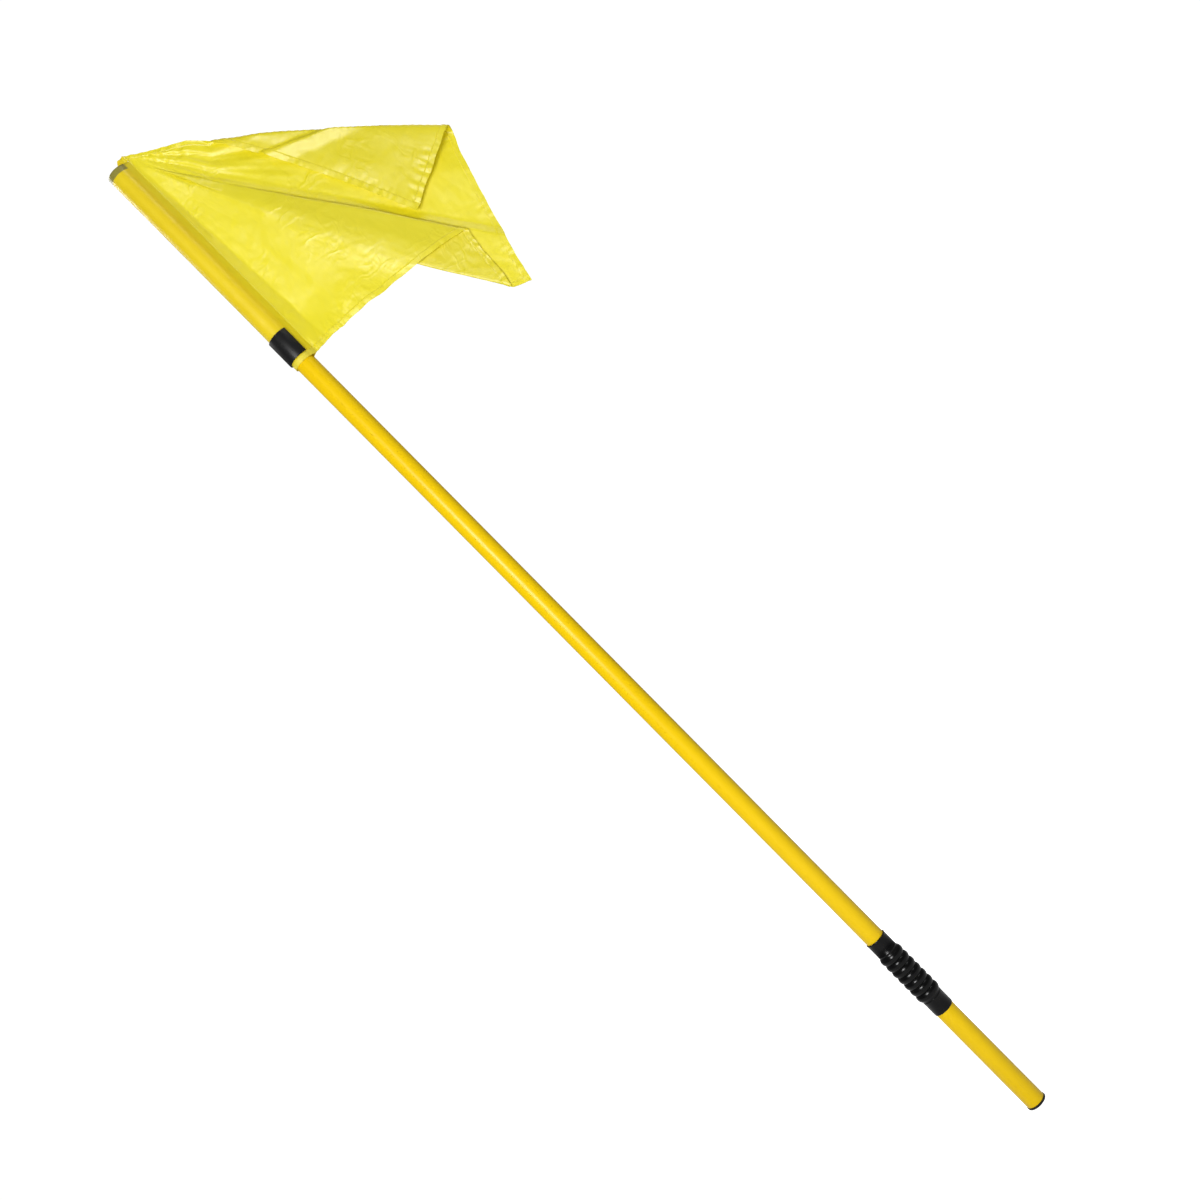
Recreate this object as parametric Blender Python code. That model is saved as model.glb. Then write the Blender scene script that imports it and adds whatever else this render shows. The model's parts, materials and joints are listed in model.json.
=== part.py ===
"""Sports corner flag: a yellow tube on a flexible ribbed rubber joint, with a cloth flag clipped to its top.

The pole stands along +Z. The origin is the centre of the ground plug's flat lower face.
The flag hangs towards +X. All sizes are in metres.
"""

import math

import bmesh
import bpy
from mathutils import Vector

# ---------------------------------------------------------------- driving sizes
TOTAL_HEIGHT = 1.700
RUNNING_GAP = 0.0003  # between pieces that touch on the real object

TUBE_DIAMETER = 0.0276
TUBE_WALL = 0.0018
TUBE_EDGE_CHAMFER = 0.0004

PLUG_FLANGE_OVERHANG = 0.0007  # how far a plug's flange stands out beyond the tube
PLUG_FLANGE_THICKNESS = 0.0030
PLUG_FLANGE_ROUND = 0.0012
PLUG_SPIGOT_LENGTH = 0.022

BOOT_BOTTOM = 0.1725
BOOT_LENGTH = 0.1273
BOOT_CUFF_LENGTH = 0.0253
BOOT_CUFF_WALL = 0.0007
BOOT_RIM_BEAD = 0.0003
BOOT_RIM_BEAD_LENGTH = 0.0020
BOOT_RIB_COUNT = 7
BOOT_RIB_HEIGHT = 0.0021
BOOT_RIB_FULLNESS = 0.7  # under 1 gives round shoulders, 1 a plain sine
BOOT_GROOVE_WALL = 0.0012
TUBE_IN_BOOT = 0.024  # how far each tube reaches into its cuff

ANCHOR_BODY_LENGTH = 0.026
ANCHOR_FLANGE_THICKNESS = 0.003
ANCHOR_FLANGE_LAND = 0.0012  # how far the flange covers the tube's end wall
ANCHOR_STEM_DIAMETER = 0.0150
ANCHOR_STEM_LENGTH = 0.014
ANCHOR_CHAMFER = 0.001

SPRING_WIRE_DIAMETER = 0.0045
SPRING_COIL_GAP = 0.0004

CLOTH_THICKNESS = 0.0006
FLAG_HOIST = 0.348  # height of the cloth along the pole
FLAG_FLY = 0.403  # length of the cloth from its seam to its free edge
SEAM_BEYOND_SLEEVE = 0.0049  # from the sleeve's round part to its seam
SEAM_HALF_WIDTH = 0.0006

CLIP_LENGTH = 0.0405
CLIP_WALL = 0.0020
CLIP_ABOVE_HEM = 0.0085
CLIP_MOUTH_MARGIN = math.radians(3.5)  # from the cloth's straight part to each lip
CLIP_EDGE_ROUND = 0.0004

# How the cloth hangs. Angles are about the sleeve's top corner, from straight down
# towards the free edge: first in the flat cloth, then as it hangs.
FRONT_FOLD_IN_CLOTH = math.radians(39.5)
FRONT_FOLD_HANGING = math.radians(34.2)
BACK_FOLD_IN_CLOTH = math.radians(47.5)
BACK_FOLD_HANGING = math.radians(27.3)
EAR_END_HANGING = math.radians(51.4)
EAR_START_HANGING = math.radians(58.6)
EAR_START = 0.104  # along the top edge, from the corner to the turned-down ear
EAR_END = 0.113  # down the free edge, from its top corner to the ear
FOLD_DEPTH = 0.016  # how far the two folds stand in front of and behind the pole's plane
PANEL_THICKNESS = 0.0024
MIDDLE_LAYER_START = 0.050  # how far from the corner the middle layer begins
LAYER_LAP = math.radians(0.4)  # how far the middle layer reaches into its neighbours

# ---------------------------------------------------------------- worked-out sizes
TUBE_RADIUS = TUBE_DIAMETER / 2
TUBE_BORE_RADIUS = TUBE_RADIUS - TUBE_WALL
PLUG_RADIUS = TUBE_RADIUS + PLUG_FLANGE_OVERHANG
SPIGOT_RADIUS = TUBE_BORE_RADIUS - RUNNING_GAP
STEM_RADIUS = ANCHOR_STEM_DIAMETER / 2

TOP_PLUG_FACE = TOTAL_HEIGHT - CLOTH_THICKNESS - RUNNING_GAP
POLE_TUBE_TOP = TOP_PLUG_FACE - PLUG_FLANGE_THICKNESS - RUNNING_GAP
GROUND_TUBE_BOTTOM = PLUG_FLANGE_THICKNESS + RUNNING_GAP

BOOT_TOP = BOOT_BOTTOM + BOOT_LENGTH
BOOT_BORE_RADIUS = TUBE_RADIUS + RUNNING_GAP
BOOT_CUFF_RADIUS = BOOT_BORE_RADIUS + BOOT_CUFF_WALL
BOOT_GROOVE_RADIUS = BOOT_BORE_RADIUS + BOOT_GROOVE_WALL
GROUND_TUBE_TOP = BOOT_BOTTOM + TUBE_IN_BOOT
POLE_TUBE_BOTTOM = BOOT_TOP - TUBE_IN_BOOT

SLEEVE_BORE_RADIUS = PLUG_RADIUS + RUNNING_GAP
SLEEVE_RADIUS = SLEEVE_BORE_RADIUS + CLOTH_THICKNESS
SLEEVE_BOTTOM = TOTAL_HEIGHT - FLAG_HOIST
CLIP_BORE_RADIUS = SLEEVE_RADIUS + RUNNING_GAP
CLIP_RADIUS = CLIP_BORE_RADIUS + CLIP_WALL
CLIP_BOTTOM = SLEEVE_BOTTOM + CLIP_ABOVE_HEM
SEAM_X = SLEEVE_RADIUS + SEAM_BEYOND_SLEEVE

# ---------------------------------------------------------------- mesh fineness
ROUND_STEPS = 56
BOOT_STEPS = 36
SPRING_STEPS_PER_TURN = 14
SPRING_WIRE_SIDES = 6
CLIP_STEPS = 40
RIB_POINTS = (0.16, 0.32, 0.5, 0.68, 0.84)  # shares of a rib's width, groove to groove


# ---------------------------------------------------------------- helpers
def clear_scene():
    for old in list(bpy.data.objects):
        bpy.data.objects.remove(old, do_unlink=True)


def plain_material(name, color, roughness, metallic=0.0):
    material = bpy.data.materials.new(name)
    material.use_nodes = True
    shader = material.node_tree.nodes["Principled BSDF"]
    shader.inputs["Base Color"].default_value = (*color, 1.0)
    shader.inputs["Roughness"].default_value = roughness
    shader.inputs["Metallic"].default_value = metallic
    return material


def object_from(name, bm, material, smooth_angle=math.radians(35)):
    """Turns a finished bmesh into a named object in the scene."""
    bmesh.ops.remove_doubles(bm, verts=bm.verts, dist=1e-6)
    bmesh.ops.recalc_face_normals(bm, faces=bm.faces)
    mesh = bpy.data.meshes.new(name)
    bm.to_mesh(mesh)
    bm.free()
    mesh.shade_smooth()
    mesh.set_sharp_from_angle(angle=smooth_angle)
    mesh.materials.append(material)
    made = bpy.data.objects.new(name, mesh)
    bpy.context.scene.collection.objects.link(made)
    return made


def turned(name, profile, material, closed, steps=ROUND_STEPS):
    """Turns (radius, height) points about Z. A closed profile makes a ring, an open one a solid."""
    bm = bmesh.new()
    verts = [bm.verts.new((radius, 0.0, height)) for radius, height in profile]
    count = len(verts)
    pairs = count if closed else count - 1
    edges = [bm.edges.new((verts[i], verts[(i + 1) % count])) for i in range(pairs)]
    bmesh.ops.spin(
        bm,
        geom=verts + edges,
        cent=(0.0, 0.0, 0.0),
        axis=(0.0, 0.0, 1.0),
        angle=math.tau,
        steps=steps,
        use_merge=True,
    )
    return object_from(name, bm, material)


def arc(centre, radius, start, end, steps):
    """Points on an arc in a plane, both ends included."""
    angles = [start + (end - start) * i / steps for i in range(steps + 1)]
    return [(centre[0] + radius * math.cos(a), centre[1] + radius * math.sin(a)) for a in angles]


# ---------------------------------------------------------------- tubes and plugs
def tube(name, bottom, top, material):
    cut = TUBE_EDGE_CHAMFER
    profile = [
        (TUBE_BORE_RADIUS, bottom),
        (TUBE_RADIUS - cut, bottom),
        (TUBE_RADIUS, bottom + cut),
        (TUBE_RADIUS, top - cut),
        (TUBE_RADIUS - cut, top),
        (TUBE_BORE_RADIUS, top),
    ]
    return turned(name, profile, material, closed=True)


def end_plug(name, face, inward, material):
    """A push-in cap: a round-edged flange against the tube's end and a spigot inside it."""
    seat = face + inward * PLUG_FLANGE_THICKNESS
    tip = seat + inward * PLUG_SPIGOT_LENGTH
    edge_centre = (PLUG_RADIUS - PLUG_FLANGE_ROUND, PLUG_FLANGE_ROUND)
    edge = arc(edge_centre, PLUG_FLANGE_ROUND, -math.pi / 2, 0.0, 4)
    profile = [(0.0, face)]
    profile += [(radius, face + inward * depth) for radius, depth in edge]
    profile += [
        (PLUG_RADIUS, seat),
        (SPIGOT_RADIUS, seat),
        (SPIGOT_RADIUS, tip - inward * ANCHOR_CHAMFER),
        (SPIGOT_RADIUS - ANCHOR_CHAMFER, tip),
        (0.0, tip),
    ]
    return turned(name, profile, material, closed=False)


# ---------------------------------------------------------------- flexible joint
def spring_anchor(name, tube_end, outward, material):
    """A plug inside the tube's end, with a flange on the end and a stem that holds the spring."""
    seat = tube_end + outward * RUNNING_GAP
    flange_face = seat + outward * ANCHOR_FLANGE_THICKNESS
    stem_tip = flange_face + outward * ANCHOR_STEM_LENGTH
    inner_end = tube_end - outward * ANCHOR_BODY_LENGTH
    flange_radius = TUBE_BORE_RADIUS + ANCHOR_FLANGE_LAND
    cut = ANCHOR_CHAMFER
    profile = [
        (0.0, inner_end),
        (SPIGOT_RADIUS - cut, inner_end),
        (SPIGOT_RADIUS, inner_end + outward * cut),
        (SPIGOT_RADIUS, seat),
        (flange_radius, seat),
        (flange_radius, flange_face),
        (STEM_RADIUS, flange_face),
        (STEM_RADIUS, stem_tip - outward * cut),
        (STEM_RADIUS - cut, stem_tip),
        (0.0, stem_tip),
    ]
    return turned(name, profile, material, closed=False)


def spring_seat(tube_end, outward):
    """Height of an anchor's flange face, where the spring's end turn rests."""
    return tube_end + outward * (RUNNING_GAP + ANCHOR_FLANGE_THICKNESS)


def coil_spring(name, material):
    """A close-wound coil between the two anchors' flanges."""
    wire_radius = SPRING_WIRE_DIAMETER / 2
    coil_radius = STEM_RADIUS + RUNNING_GAP + wire_radius
    start = spring_seat(GROUND_TUBE_TOP, 1) + RUNNING_GAP + wire_radius
    end = spring_seat(POLE_TUBE_BOTTOM, -1) - RUNNING_GAP - wire_radius
    turns = (end - start) / (SPRING_WIRE_DIAMETER + SPRING_COIL_GAP)
    steps = round(turns * SPRING_STEPS_PER_TURN)
    rise = (end - start) / (turns * math.tau * coil_radius)
    bm = bmesh.new()
    rings = []
    for i in range(steps + 1):
        angle = math.tau * turns * i / steps
        outward = Vector((math.cos(angle), math.sin(angle), 0.0))
        along = Vector((-math.sin(angle), math.cos(angle), rise)).normalized()
        upward = outward.cross(along).normalized()
        centre = outward * coil_radius + Vector((0.0, 0.0, start + (end - start) * i / steps))
        ring = []
        for side in range(SPRING_WIRE_SIDES):
            turn = math.tau * side / SPRING_WIRE_SIDES
            spot = centre + (outward * math.cos(turn) + upward * math.sin(turn)) * wire_radius
            ring.append(bm.verts.new(spot))
        rings.append(ring)
    for low, high in zip(rings, rings[1:]):
        for side in range(SPRING_WIRE_SIDES):
            after = (side + 1) % SPRING_WIRE_SIDES
            bm.faces.new((low[side], low[after], high[after], high[side]))
    bm.faces.new(rings[0])
    bm.faces.new(rings[-1])
    return object_from(name, bm, material, smooth_angle=math.radians(70))


def rubber_boot(name, material):
    """The ribbed rubber cover: two plain cuffs on the tubes and round ribs between them."""
    rib_zone = BOOT_LENGTH - 2 * BOOT_CUFF_LENGTH
    pitch = rib_zone / BOOT_RIB_COUNT
    bead = BOOT_CUFF_RADIUS + BOOT_RIM_BEAD
    lower_cuff_top = BOOT_BOTTOM + BOOT_CUFF_LENGTH
    profile = [
        (BOOT_BORE_RADIUS, BOOT_BOTTOM),
        (BOOT_CUFF_RADIUS - BOOT_CUFF_WALL / 2, BOOT_BOTTOM),
        (BOOT_CUFF_RADIUS, BOOT_BOTTOM + BOOT_CUFF_WALL),
        (BOOT_CUFF_RADIUS, lower_cuff_top),
    ]
    for rib in range(BOOT_RIB_COUNT):
        foot = lower_cuff_top + rib * pitch
        if rib:
            profile.append((BOOT_GROOVE_RADIUS, foot))
        for share in RIB_POINTS:
            height = BOOT_RIB_HEIGHT * math.sin(math.pi * share) ** BOOT_RIB_FULLNESS
            profile.append((BOOT_GROOVE_RADIUS + height, foot + share * pitch))
    profile += [
        (BOOT_CUFF_RADIUS, BOOT_TOP - BOOT_CUFF_LENGTH),
        (BOOT_CUFF_RADIUS, BOOT_TOP - BOOT_RIM_BEAD_LENGTH),
        (bead, BOOT_TOP - BOOT_RIM_BEAD_LENGTH * 0.7),
        (bead, BOOT_TOP - BOOT_RIM_BEAD_LENGTH * 0.3),
        (BOOT_CUFF_RADIUS - BOOT_CUFF_WALL / 2, BOOT_TOP),
        (BOOT_BORE_RADIUS, BOOT_TOP),
    ]
    return turned(name, profile, material, closed=True, steps=BOOT_STEPS)


# ---------------------------------------------------------------- flag clip and cloth
def tangent_angle(radius, tip_x):
    """Angle about the pole at which the cloth leaves the round and runs straight to its seam."""
    return math.acos(radius / tip_x)


def sleeve_outline(radius, tip_x, tip_half):
    """Teardrop outline around the pole: a round back and two straight sides to the seam."""
    leave = tangent_angle(radius, tip_x)
    back = arc((0.0, 0.0), radius, leave, math.tau - leave, CLIP_STEPS)
    return back + [(tip_x, -tip_half), (tip_x, tip_half)]


def flag_sleeve(name, material):
    """The cloth pocket that covers the pole's top: open below, sewn shut above."""
    outer = sleeve_outline(SLEEVE_RADIUS, SEAM_X, SEAM_HALF_WIDTH)
    inner = sleeve_outline(SLEEVE_BORE_RADIUS, SEAM_X - 2 * CLOTH_THICKNESS, SEAM_HALF_WIDTH / 4)
    inner_top = TOTAL_HEIGHT - CLOTH_THICKNESS
    bm = bmesh.new()

    def ring(outline, height):
        return [bm.verts.new((x, y, height)) for x, y in outline]

    outer_low = ring(outer, SLEEVE_BOTTOM)
    outer_high = ring(outer, TOTAL_HEIGHT)
    inner_low = ring(inner, SLEEVE_BOTTOM)
    inner_high = ring(inner, inner_top)
    for first, second in ((outer_low, outer_high), (inner_low, inner_high), (outer_low, inner_low)):
        for i in range(len(first)):
            after = (i + 1) % len(first)
            bm.faces.new((first[i], first[after], second[after], second[i]))
    bm.faces.new(outer_high)
    bm.faces.new(inner_high)
    return object_from(name, bm, material)


def flag_clip(name, material):
    """A C-shaped snap clip that grips the sleeve's lower end, its mouth towards the flag."""
    lip = tangent_angle(SLEEVE_RADIUS, SEAM_X) + CLIP_MOUTH_MARGIN
    middle = (CLIP_BORE_RADIUS + CLIP_RADIUS) / 2
    half_wall = CLIP_WALL / 2
    outline = arc((0.0, 0.0), CLIP_RADIUS, lip, math.tau - lip, CLIP_STEPS)
    end_angle = math.tau - lip
    end_centre = (middle * math.cos(end_angle), middle * math.sin(end_angle))
    outline += arc(end_centre, half_wall, end_angle, end_angle + math.pi, 4)[1:-1]
    outline += arc((0.0, 0.0), CLIP_BORE_RADIUS, end_angle, lip, CLIP_STEPS)
    start_centre = (middle * math.cos(lip), middle * math.sin(lip))
    outline += arc(start_centre, half_wall, lip + math.pi, lip + math.tau, 4)[1:-1]
    bm = bmesh.new()
    low = [bm.verts.new((x, y, CLIP_BOTTOM)) for x, y in outline]
    face = bm.faces.new(low)
    raised = bmesh.ops.extrude_face_region(bm, geom=[face])["geom"]
    lifted = [item for item in raised if isinstance(item, bmesh.types.BMVert)]
    bmesh.ops.translate(bm, verts=lifted, vec=(0.0, 0.0, CLIP_LENGTH))
    made = object_from(name, bm, material)
    rounding = made.modifiers.new("edge_round", "BEVEL")
    rounding.width = CLIP_EDGE_ROUND
    rounding.segments = 2
    rounding.limit_method = "ANGLE"
    rounding.angle_limit = math.radians(60)
    return made


def edge_distance(angle_in_cloth):
    """Distance from the cloth's top corner to its edge, along a line at this angle in the cloth."""
    to_hem = FLAG_HOIST / max(math.cos(angle_in_cloth), 1e-6)
    to_free_edge = FLAG_FLY / max(math.sin(angle_in_cloth), 1e-6)
    return min(to_hem, to_free_edge)


def hung(angle, distance, depth):
    """A point of the hanging cloth, from its top corner; a positive depth lies behind the pole's plane."""
    corner_x = SEAM_X + RUNNING_GAP
    corner_z = TOTAL_HEIGHT - CLOTH_THICKNESS
    x = corner_x + distance * math.sin(angle)
    z = corner_z - distance * math.cos(angle)
    return Vector((x, depth, z))


def plate(name, corners, material):
    """A flat piece of the folded cloth, PANEL_THICKNESS deep along Y."""
    half = Vector((0.0, PANEL_THICKNESS / 2, 0.0))
    bm = bmesh.new()
    front = [bm.verts.new(corner - half) for corner in corners]
    back = [bm.verts.new(corner + half) for corner in corners]
    bm.faces.new(front)
    bm.faces.new(back)
    for i in range(len(corners)):
        after = (i + 1) % len(corners)
        bm.faces.new((front[i], front[after], back[after], back[i]))
    bmesh.ops.triangulate(bm, faces=bm.faces)
    return object_from(name, bm, material, smooth_angle=math.radians(20))


def flag_panel(name, material):
    """The hanging cloth as three flat layers folded into a Z, joined into one solid."""
    front_edge = edge_distance(FRONT_FOLD_IN_CLOTH)
    back_edge = edge_distance(BACK_FOLD_IN_CLOTH)
    spread = (EAR_END_HANGING - BACK_FOLD_HANGING) / (
        math.atan2(FLAG_FLY, EAR_END) - BACK_FOLD_IN_CLOTH
    )
    corner_in_cloth = math.atan2(FLAG_FLY, FLAG_HOIST)
    corner_hanging = BACK_FOLD_HANGING + spread * (corner_in_cloth - BACK_FOLD_IN_CLOTH)
    ear_end_distance = math.hypot(FLAG_FLY, EAR_END)
    front_slope = FOLD_DEPTH / front_edge
    back_slope = FOLD_DEPTH / back_edge
    back_corner_hanging = (BACK_FOLD_HANGING + EAR_START_HANGING) / 2

    front_layer = [
        hung(0.0, 0.0, 0.0),
        hung(0.0, FLAG_HOIST, 0.0),
        hung(FRONT_FOLD_HANGING, front_edge, -FOLD_DEPTH),
    ]
    middle_layer = [
        hung(FRONT_FOLD_HANGING - LAYER_LAP, MIDDLE_LAYER_START, -front_slope * MIDDLE_LAYER_START),
        hung(BACK_FOLD_HANGING + LAYER_LAP, MIDDLE_LAYER_START, back_slope * MIDDLE_LAYER_START),
        hung(BACK_FOLD_HANGING + LAYER_LAP, back_edge, FOLD_DEPTH),
        hung(FRONT_FOLD_HANGING - LAYER_LAP, front_edge, -FOLD_DEPTH),
    ]
    back_layer = [
        hung(back_corner_hanging, PANEL_THICKNESS / 2, 0.0),
        hung(BACK_FOLD_HANGING, back_edge, FOLD_DEPTH),
        hung(corner_hanging, math.hypot(FLAG_FLY, FLAG_HOIST), FOLD_DEPTH),
        hung(EAR_END_HANGING, ear_end_distance, back_slope * ear_end_distance),
        hung(EAR_START_HANGING, EAR_START, back_slope * EAR_START),
    ]
    panel = plate(name, front_layer, material)
    for part_name, corners in (("middle_layer", middle_layer), ("back_layer", back_layer)):
        layer = plate(part_name, corners, material)
        layer.hide_render = True
        layer.display_type = "WIRE"
        joining = panel.modifiers.new(part_name, "BOOLEAN")
        joining.operation = "UNION"
        joining.solver = "EXACT"
        joining.object = layer
    return panel


# ---------------------------------------------------------------- assembly
def build():
    clear_scene()
    tube_yellow = plain_material("tube_yellow", (0.87, 0.60, 0.0), 0.35)
    black_plastic = plain_material("black_plastic", (0.012, 0.012, 0.012), 0.45)
    black_rubber = plain_material("black_rubber", (0.008, 0.008, 0.008), 0.4)
    spring_steel = plain_material("spring_steel", (0.45, 0.46, 0.48), 0.35, 1.0)
    anchor_metal = plain_material("anchor_metal", (0.70, 0.71, 0.72), 0.35, 1.0)
    flag_cloth = plain_material("flag_cloth", (0.87, 0.80, 0.10), 0.6)

    tube("ground_tube", GROUND_TUBE_BOTTOM, GROUND_TUBE_TOP, tube_yellow)
    end_plug("ground_end_plug", 0.0, 1, black_plastic)
    spring_anchor("lower_spring_anchor", GROUND_TUBE_TOP, 1, anchor_metal)
    coil_spring("joint_spring", spring_steel)
    rubber_boot("rubber_boot", black_rubber)
    spring_anchor("upper_spring_anchor", POLE_TUBE_BOTTOM, -1, anchor_metal)
    tube("pole_tube", POLE_TUBE_BOTTOM, POLE_TUBE_TOP, tube_yellow)
    end_plug("top_end_plug", TOP_PLUG_FACE, -1, black_plastic)
    flag_clip("flag_clip", black_plastic)
    flag_sleeve("flag_sleeve", flag_cloth)
    flag_panel("flag_panel", flag_cloth)


build()
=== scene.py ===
# %% [markdown]
# # A corner flag on a flexible joint
#
# This lesson dresses a corner flag from a football pitch: a yellow plastic pole that stands in the turf, a
# black rubber joint that lets it give way when a player runs into it, and a square satin flag whose sleeve
# is held on the pole by a snap clip. The measured model comes first, as a fixed frame. Every piece is then
# made around it, in metres, standing on the ground at the origin with its pole along Z and its flag towards
# +X.

# %% Load the measured frame
import json
import math

import bmesh
import bpy
import numpy as np
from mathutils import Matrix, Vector, noise


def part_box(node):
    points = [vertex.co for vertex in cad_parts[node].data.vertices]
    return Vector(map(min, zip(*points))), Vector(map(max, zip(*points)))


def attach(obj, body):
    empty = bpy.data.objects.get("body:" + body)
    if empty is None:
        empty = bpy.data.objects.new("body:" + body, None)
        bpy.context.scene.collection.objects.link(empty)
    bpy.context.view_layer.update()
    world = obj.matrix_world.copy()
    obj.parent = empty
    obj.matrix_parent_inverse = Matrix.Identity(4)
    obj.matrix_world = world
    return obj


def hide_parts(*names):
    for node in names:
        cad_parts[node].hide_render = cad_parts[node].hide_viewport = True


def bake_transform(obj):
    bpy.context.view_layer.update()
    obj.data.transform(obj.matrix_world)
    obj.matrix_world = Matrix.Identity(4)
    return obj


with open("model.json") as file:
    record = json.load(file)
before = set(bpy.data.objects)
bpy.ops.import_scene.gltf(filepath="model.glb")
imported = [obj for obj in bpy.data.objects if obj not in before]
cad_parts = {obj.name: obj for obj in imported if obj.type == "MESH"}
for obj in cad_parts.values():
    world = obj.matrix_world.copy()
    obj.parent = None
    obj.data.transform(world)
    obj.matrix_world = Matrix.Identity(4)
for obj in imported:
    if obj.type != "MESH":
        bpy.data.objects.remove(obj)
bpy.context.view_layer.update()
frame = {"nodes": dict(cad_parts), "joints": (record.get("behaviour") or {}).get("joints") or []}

bpy.ops.object.select_all(action="DESELECT")
print("frame pieces:", sorted(frame["nodes"]))

# %% [markdown]
# ## Light, floor and camera
#
# A plain white studio shows a bright object best when most of the light comes from near the camera, because
# the cloth then has no hard shadows. The pole is long and thin, so the camera is rolled until the pole lies
# across the picture's diagonal. Standard colour handling keeps the saturated yellow as it is; the default
# one would wash it out.

# %% The camera
CAMERA_PLACE = Vector((0.0552, -1.82, 0.8635))
CAMERA_ROLL = math.radians(44.7)
CAMERA_LENS = 42.0

bpy.ops.object.camera_add(location=CAMERA_PLACE, rotation=(math.pi / 2, 0, 0))
camera = bpy.context.object
camera.name = "studio_camera"
camera.data.lens = CAMERA_LENS
camera.data.sensor_width = 36.0
camera.rotation_euler.rotate_axis("Z", -CAMERA_ROLL)
bpy.context.scene.camera = camera
print("camera right:", [round(x, 3) for x in camera.rotation_euler.to_matrix().col[0]])

# %% The studio's white surroundings and colour handling
SURROUND_LIGHT = 0.18
SEEN_LIGHT = 1.05  # what the camera sees of it

bpy.context.scene.view_settings.view_transform = "Standard"
world = bpy.data.worlds.new("white_studio")
world.use_nodes = True
bpy.context.scene.world = world
air = world.node_tree.nodes["Background"]
air.inputs["Color"].default_value = (1, 1, 1, 1)
seen = world.node_tree.nodes.new("ShaderNodeLightPath").outputs["Is Camera Ray"]
strength = world.node_tree.nodes.new("ShaderNodeMapRange")
strength.inputs["To Min"].default_value = SURROUND_LIGHT
strength.inputs["To Max"].default_value = SEEN_LIGHT
world.node_tree.links.new(seen, strength.inputs["Value"])
world.node_tree.links.new(strength.outputs["Result"], air.inputs["Strength"])
print("surroundings light the object at", SURROUND_LIGHT)


# %% Soft lamps
def soft_lamp(name, place, aim, size, watts):
    """A square lamp that looks at a point."""
    turn = (Vector(aim) - Vector(place)).to_track_quat("-Z", "Y").to_euler()
    bpy.ops.object.light_add(type="AREA", location=place, rotation=turn)
    lamp = bpy.context.object
    lamp.name = name
    lamp.data.size = size
    lamp.data.energy = watts


POLE_MIDDLE = (0.05, 0.0, 0.86)
soft_lamp("key_lamp", (-0.50, -1.80, 1.08), POLE_MIDDLE, 0.65, 36.8)
soft_lamp("side_lamp", (2.0, -0.9, 3.0), POLE_MIDDLE, 1.0, 14.0)
soft_lamp("far_lamp", (-1.5, 1.3, 3.0), POLE_MIDDLE, 1.0, 34.0)
soft_lamp("back_lamp", (1.2, 1.8, 2.8), POLE_MIDDLE, 1.0, 34.0)

# %% [markdown]
# ## Writing materials as sums
#
# A finish is a small recipe of nodes. Wiring each one by hand hides the idea behind the plumbing, so a
# node's output is wrapped in a class that can be added and multiplied like a number. Every other kind of
# node is made by one method, which takes the node's type, its settings and what goes into its sockets.


# %% A wire that can be used in sums
class Wire:
    """One output of a node, which can be used in sums like a number."""

    def __init__(self, finish, output):
        self.finish = finish
        self.output = output

    def math(self, operation, first, second=0.0):
        return self.finish.node("ShaderNodeMath", {"operation": operation}, {0: first, 1: second})

    def __add__(self, other):
        return self.math("ADD", self, other)

    __radd__ = __add__

    def __sub__(self, other):
        return self.math("SUBTRACT", self, other)

    def __rsub__(self, other):
        return self.math("SUBTRACT", other, self)

    def __mul__(self, other):
        return self.math("MULTIPLY", self, other)

    __rmul__ = __mul__

    def size(self):
        return self.math("ABSOLUTE", self)


# %% A finish, which is one material being written
class Finish:
    """A material whose nodes are added one by one; shade() plugs the result into its shader."""

    def __init__(self, name):
        self.material = bpy.data.materials.new(name)
        self.material.use_nodes = True
        self.tree = self.material.node_tree
        self.shader = self.tree.nodes["Principled BSDF"]

    def node(self, kind, settings=None, sockets=None, output=0):
        made = self.tree.nodes.new(kind)
        for setting, value in (settings or {}).items():
            setattr(made, setting, value)
        for socket, value in (sockets or {}).items():
            self.plug(made.inputs[socket], value)
        return Wire(self, made.outputs[output])

    def plug(self, socket, value):
        if isinstance(value, Wire):
            self.tree.links.new(value.output, socket)
        else:
            socket.default_value = value

    def shade(self, **sockets):
        for socket, value in sockets.items():
            self.plug(self.shader.inputs[socket.replace("_", " ")], value)
        return self.material

    def let_light_through(self, share, color, normal):
        """Mixes in the light that reaches thin cloth from behind."""
        behind = self.node("ShaderNodeBsdfTranslucent", sockets={"Color": color, "Normal": normal})
        front = Wire(self, self.shader.outputs[0])
        both = self.node("ShaderNodeMixShader", sockets={0: share, 1: front, 2: behind})
        self.plug(self.tree.nodes["Material Output"].inputs["Surface"], both)


# %% Patterns that several finishes share
def in_place(finish, scale=(1, 1, 1)):
    """The point on the object, in metres, stretched by scale."""
    point = finish.node("ShaderNodeTexCoord", output="Object")
    return finish.node("ShaderNodeMapping", sockets={"Vector": point, "Scale": scale})


def along_cloth(finish, across=1, down=1, turn=0.0):
    """The point on the flat cut cloth, in metres, stretched along the fly and the hoist and turned."""
    point = finish.node("ShaderNodeUVMap", {"uv_map": "cut"})
    sockets = {"Vector": point, "Scale": (across, down, 1), "Rotation": (0, 0, turn)}
    return finish.node("ShaderNodeMapping", sockets=sockets)


def cloudy(finish, where, size=1.0, detail=3.0):
    """Soft irregular patches of a given size, from 0 to 1."""
    sockets = {"Vector": where, "Scale": 1.0 / size, "Detail": detail, "Roughness": 0.55}
    return finish.node("ShaderNodeTexNoise", sockets=sockets)


def rise(finish, value, low, high):
    """0 below low, 1 above high and smooth between; high below low turns it round."""
    sockets = {"Value": value, "From Min": low, "From Max": high}
    return finish.node("ShaderNodeMapRange", {"interpolation_type": "SMOOTHSTEP"}, sockets)


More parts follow.
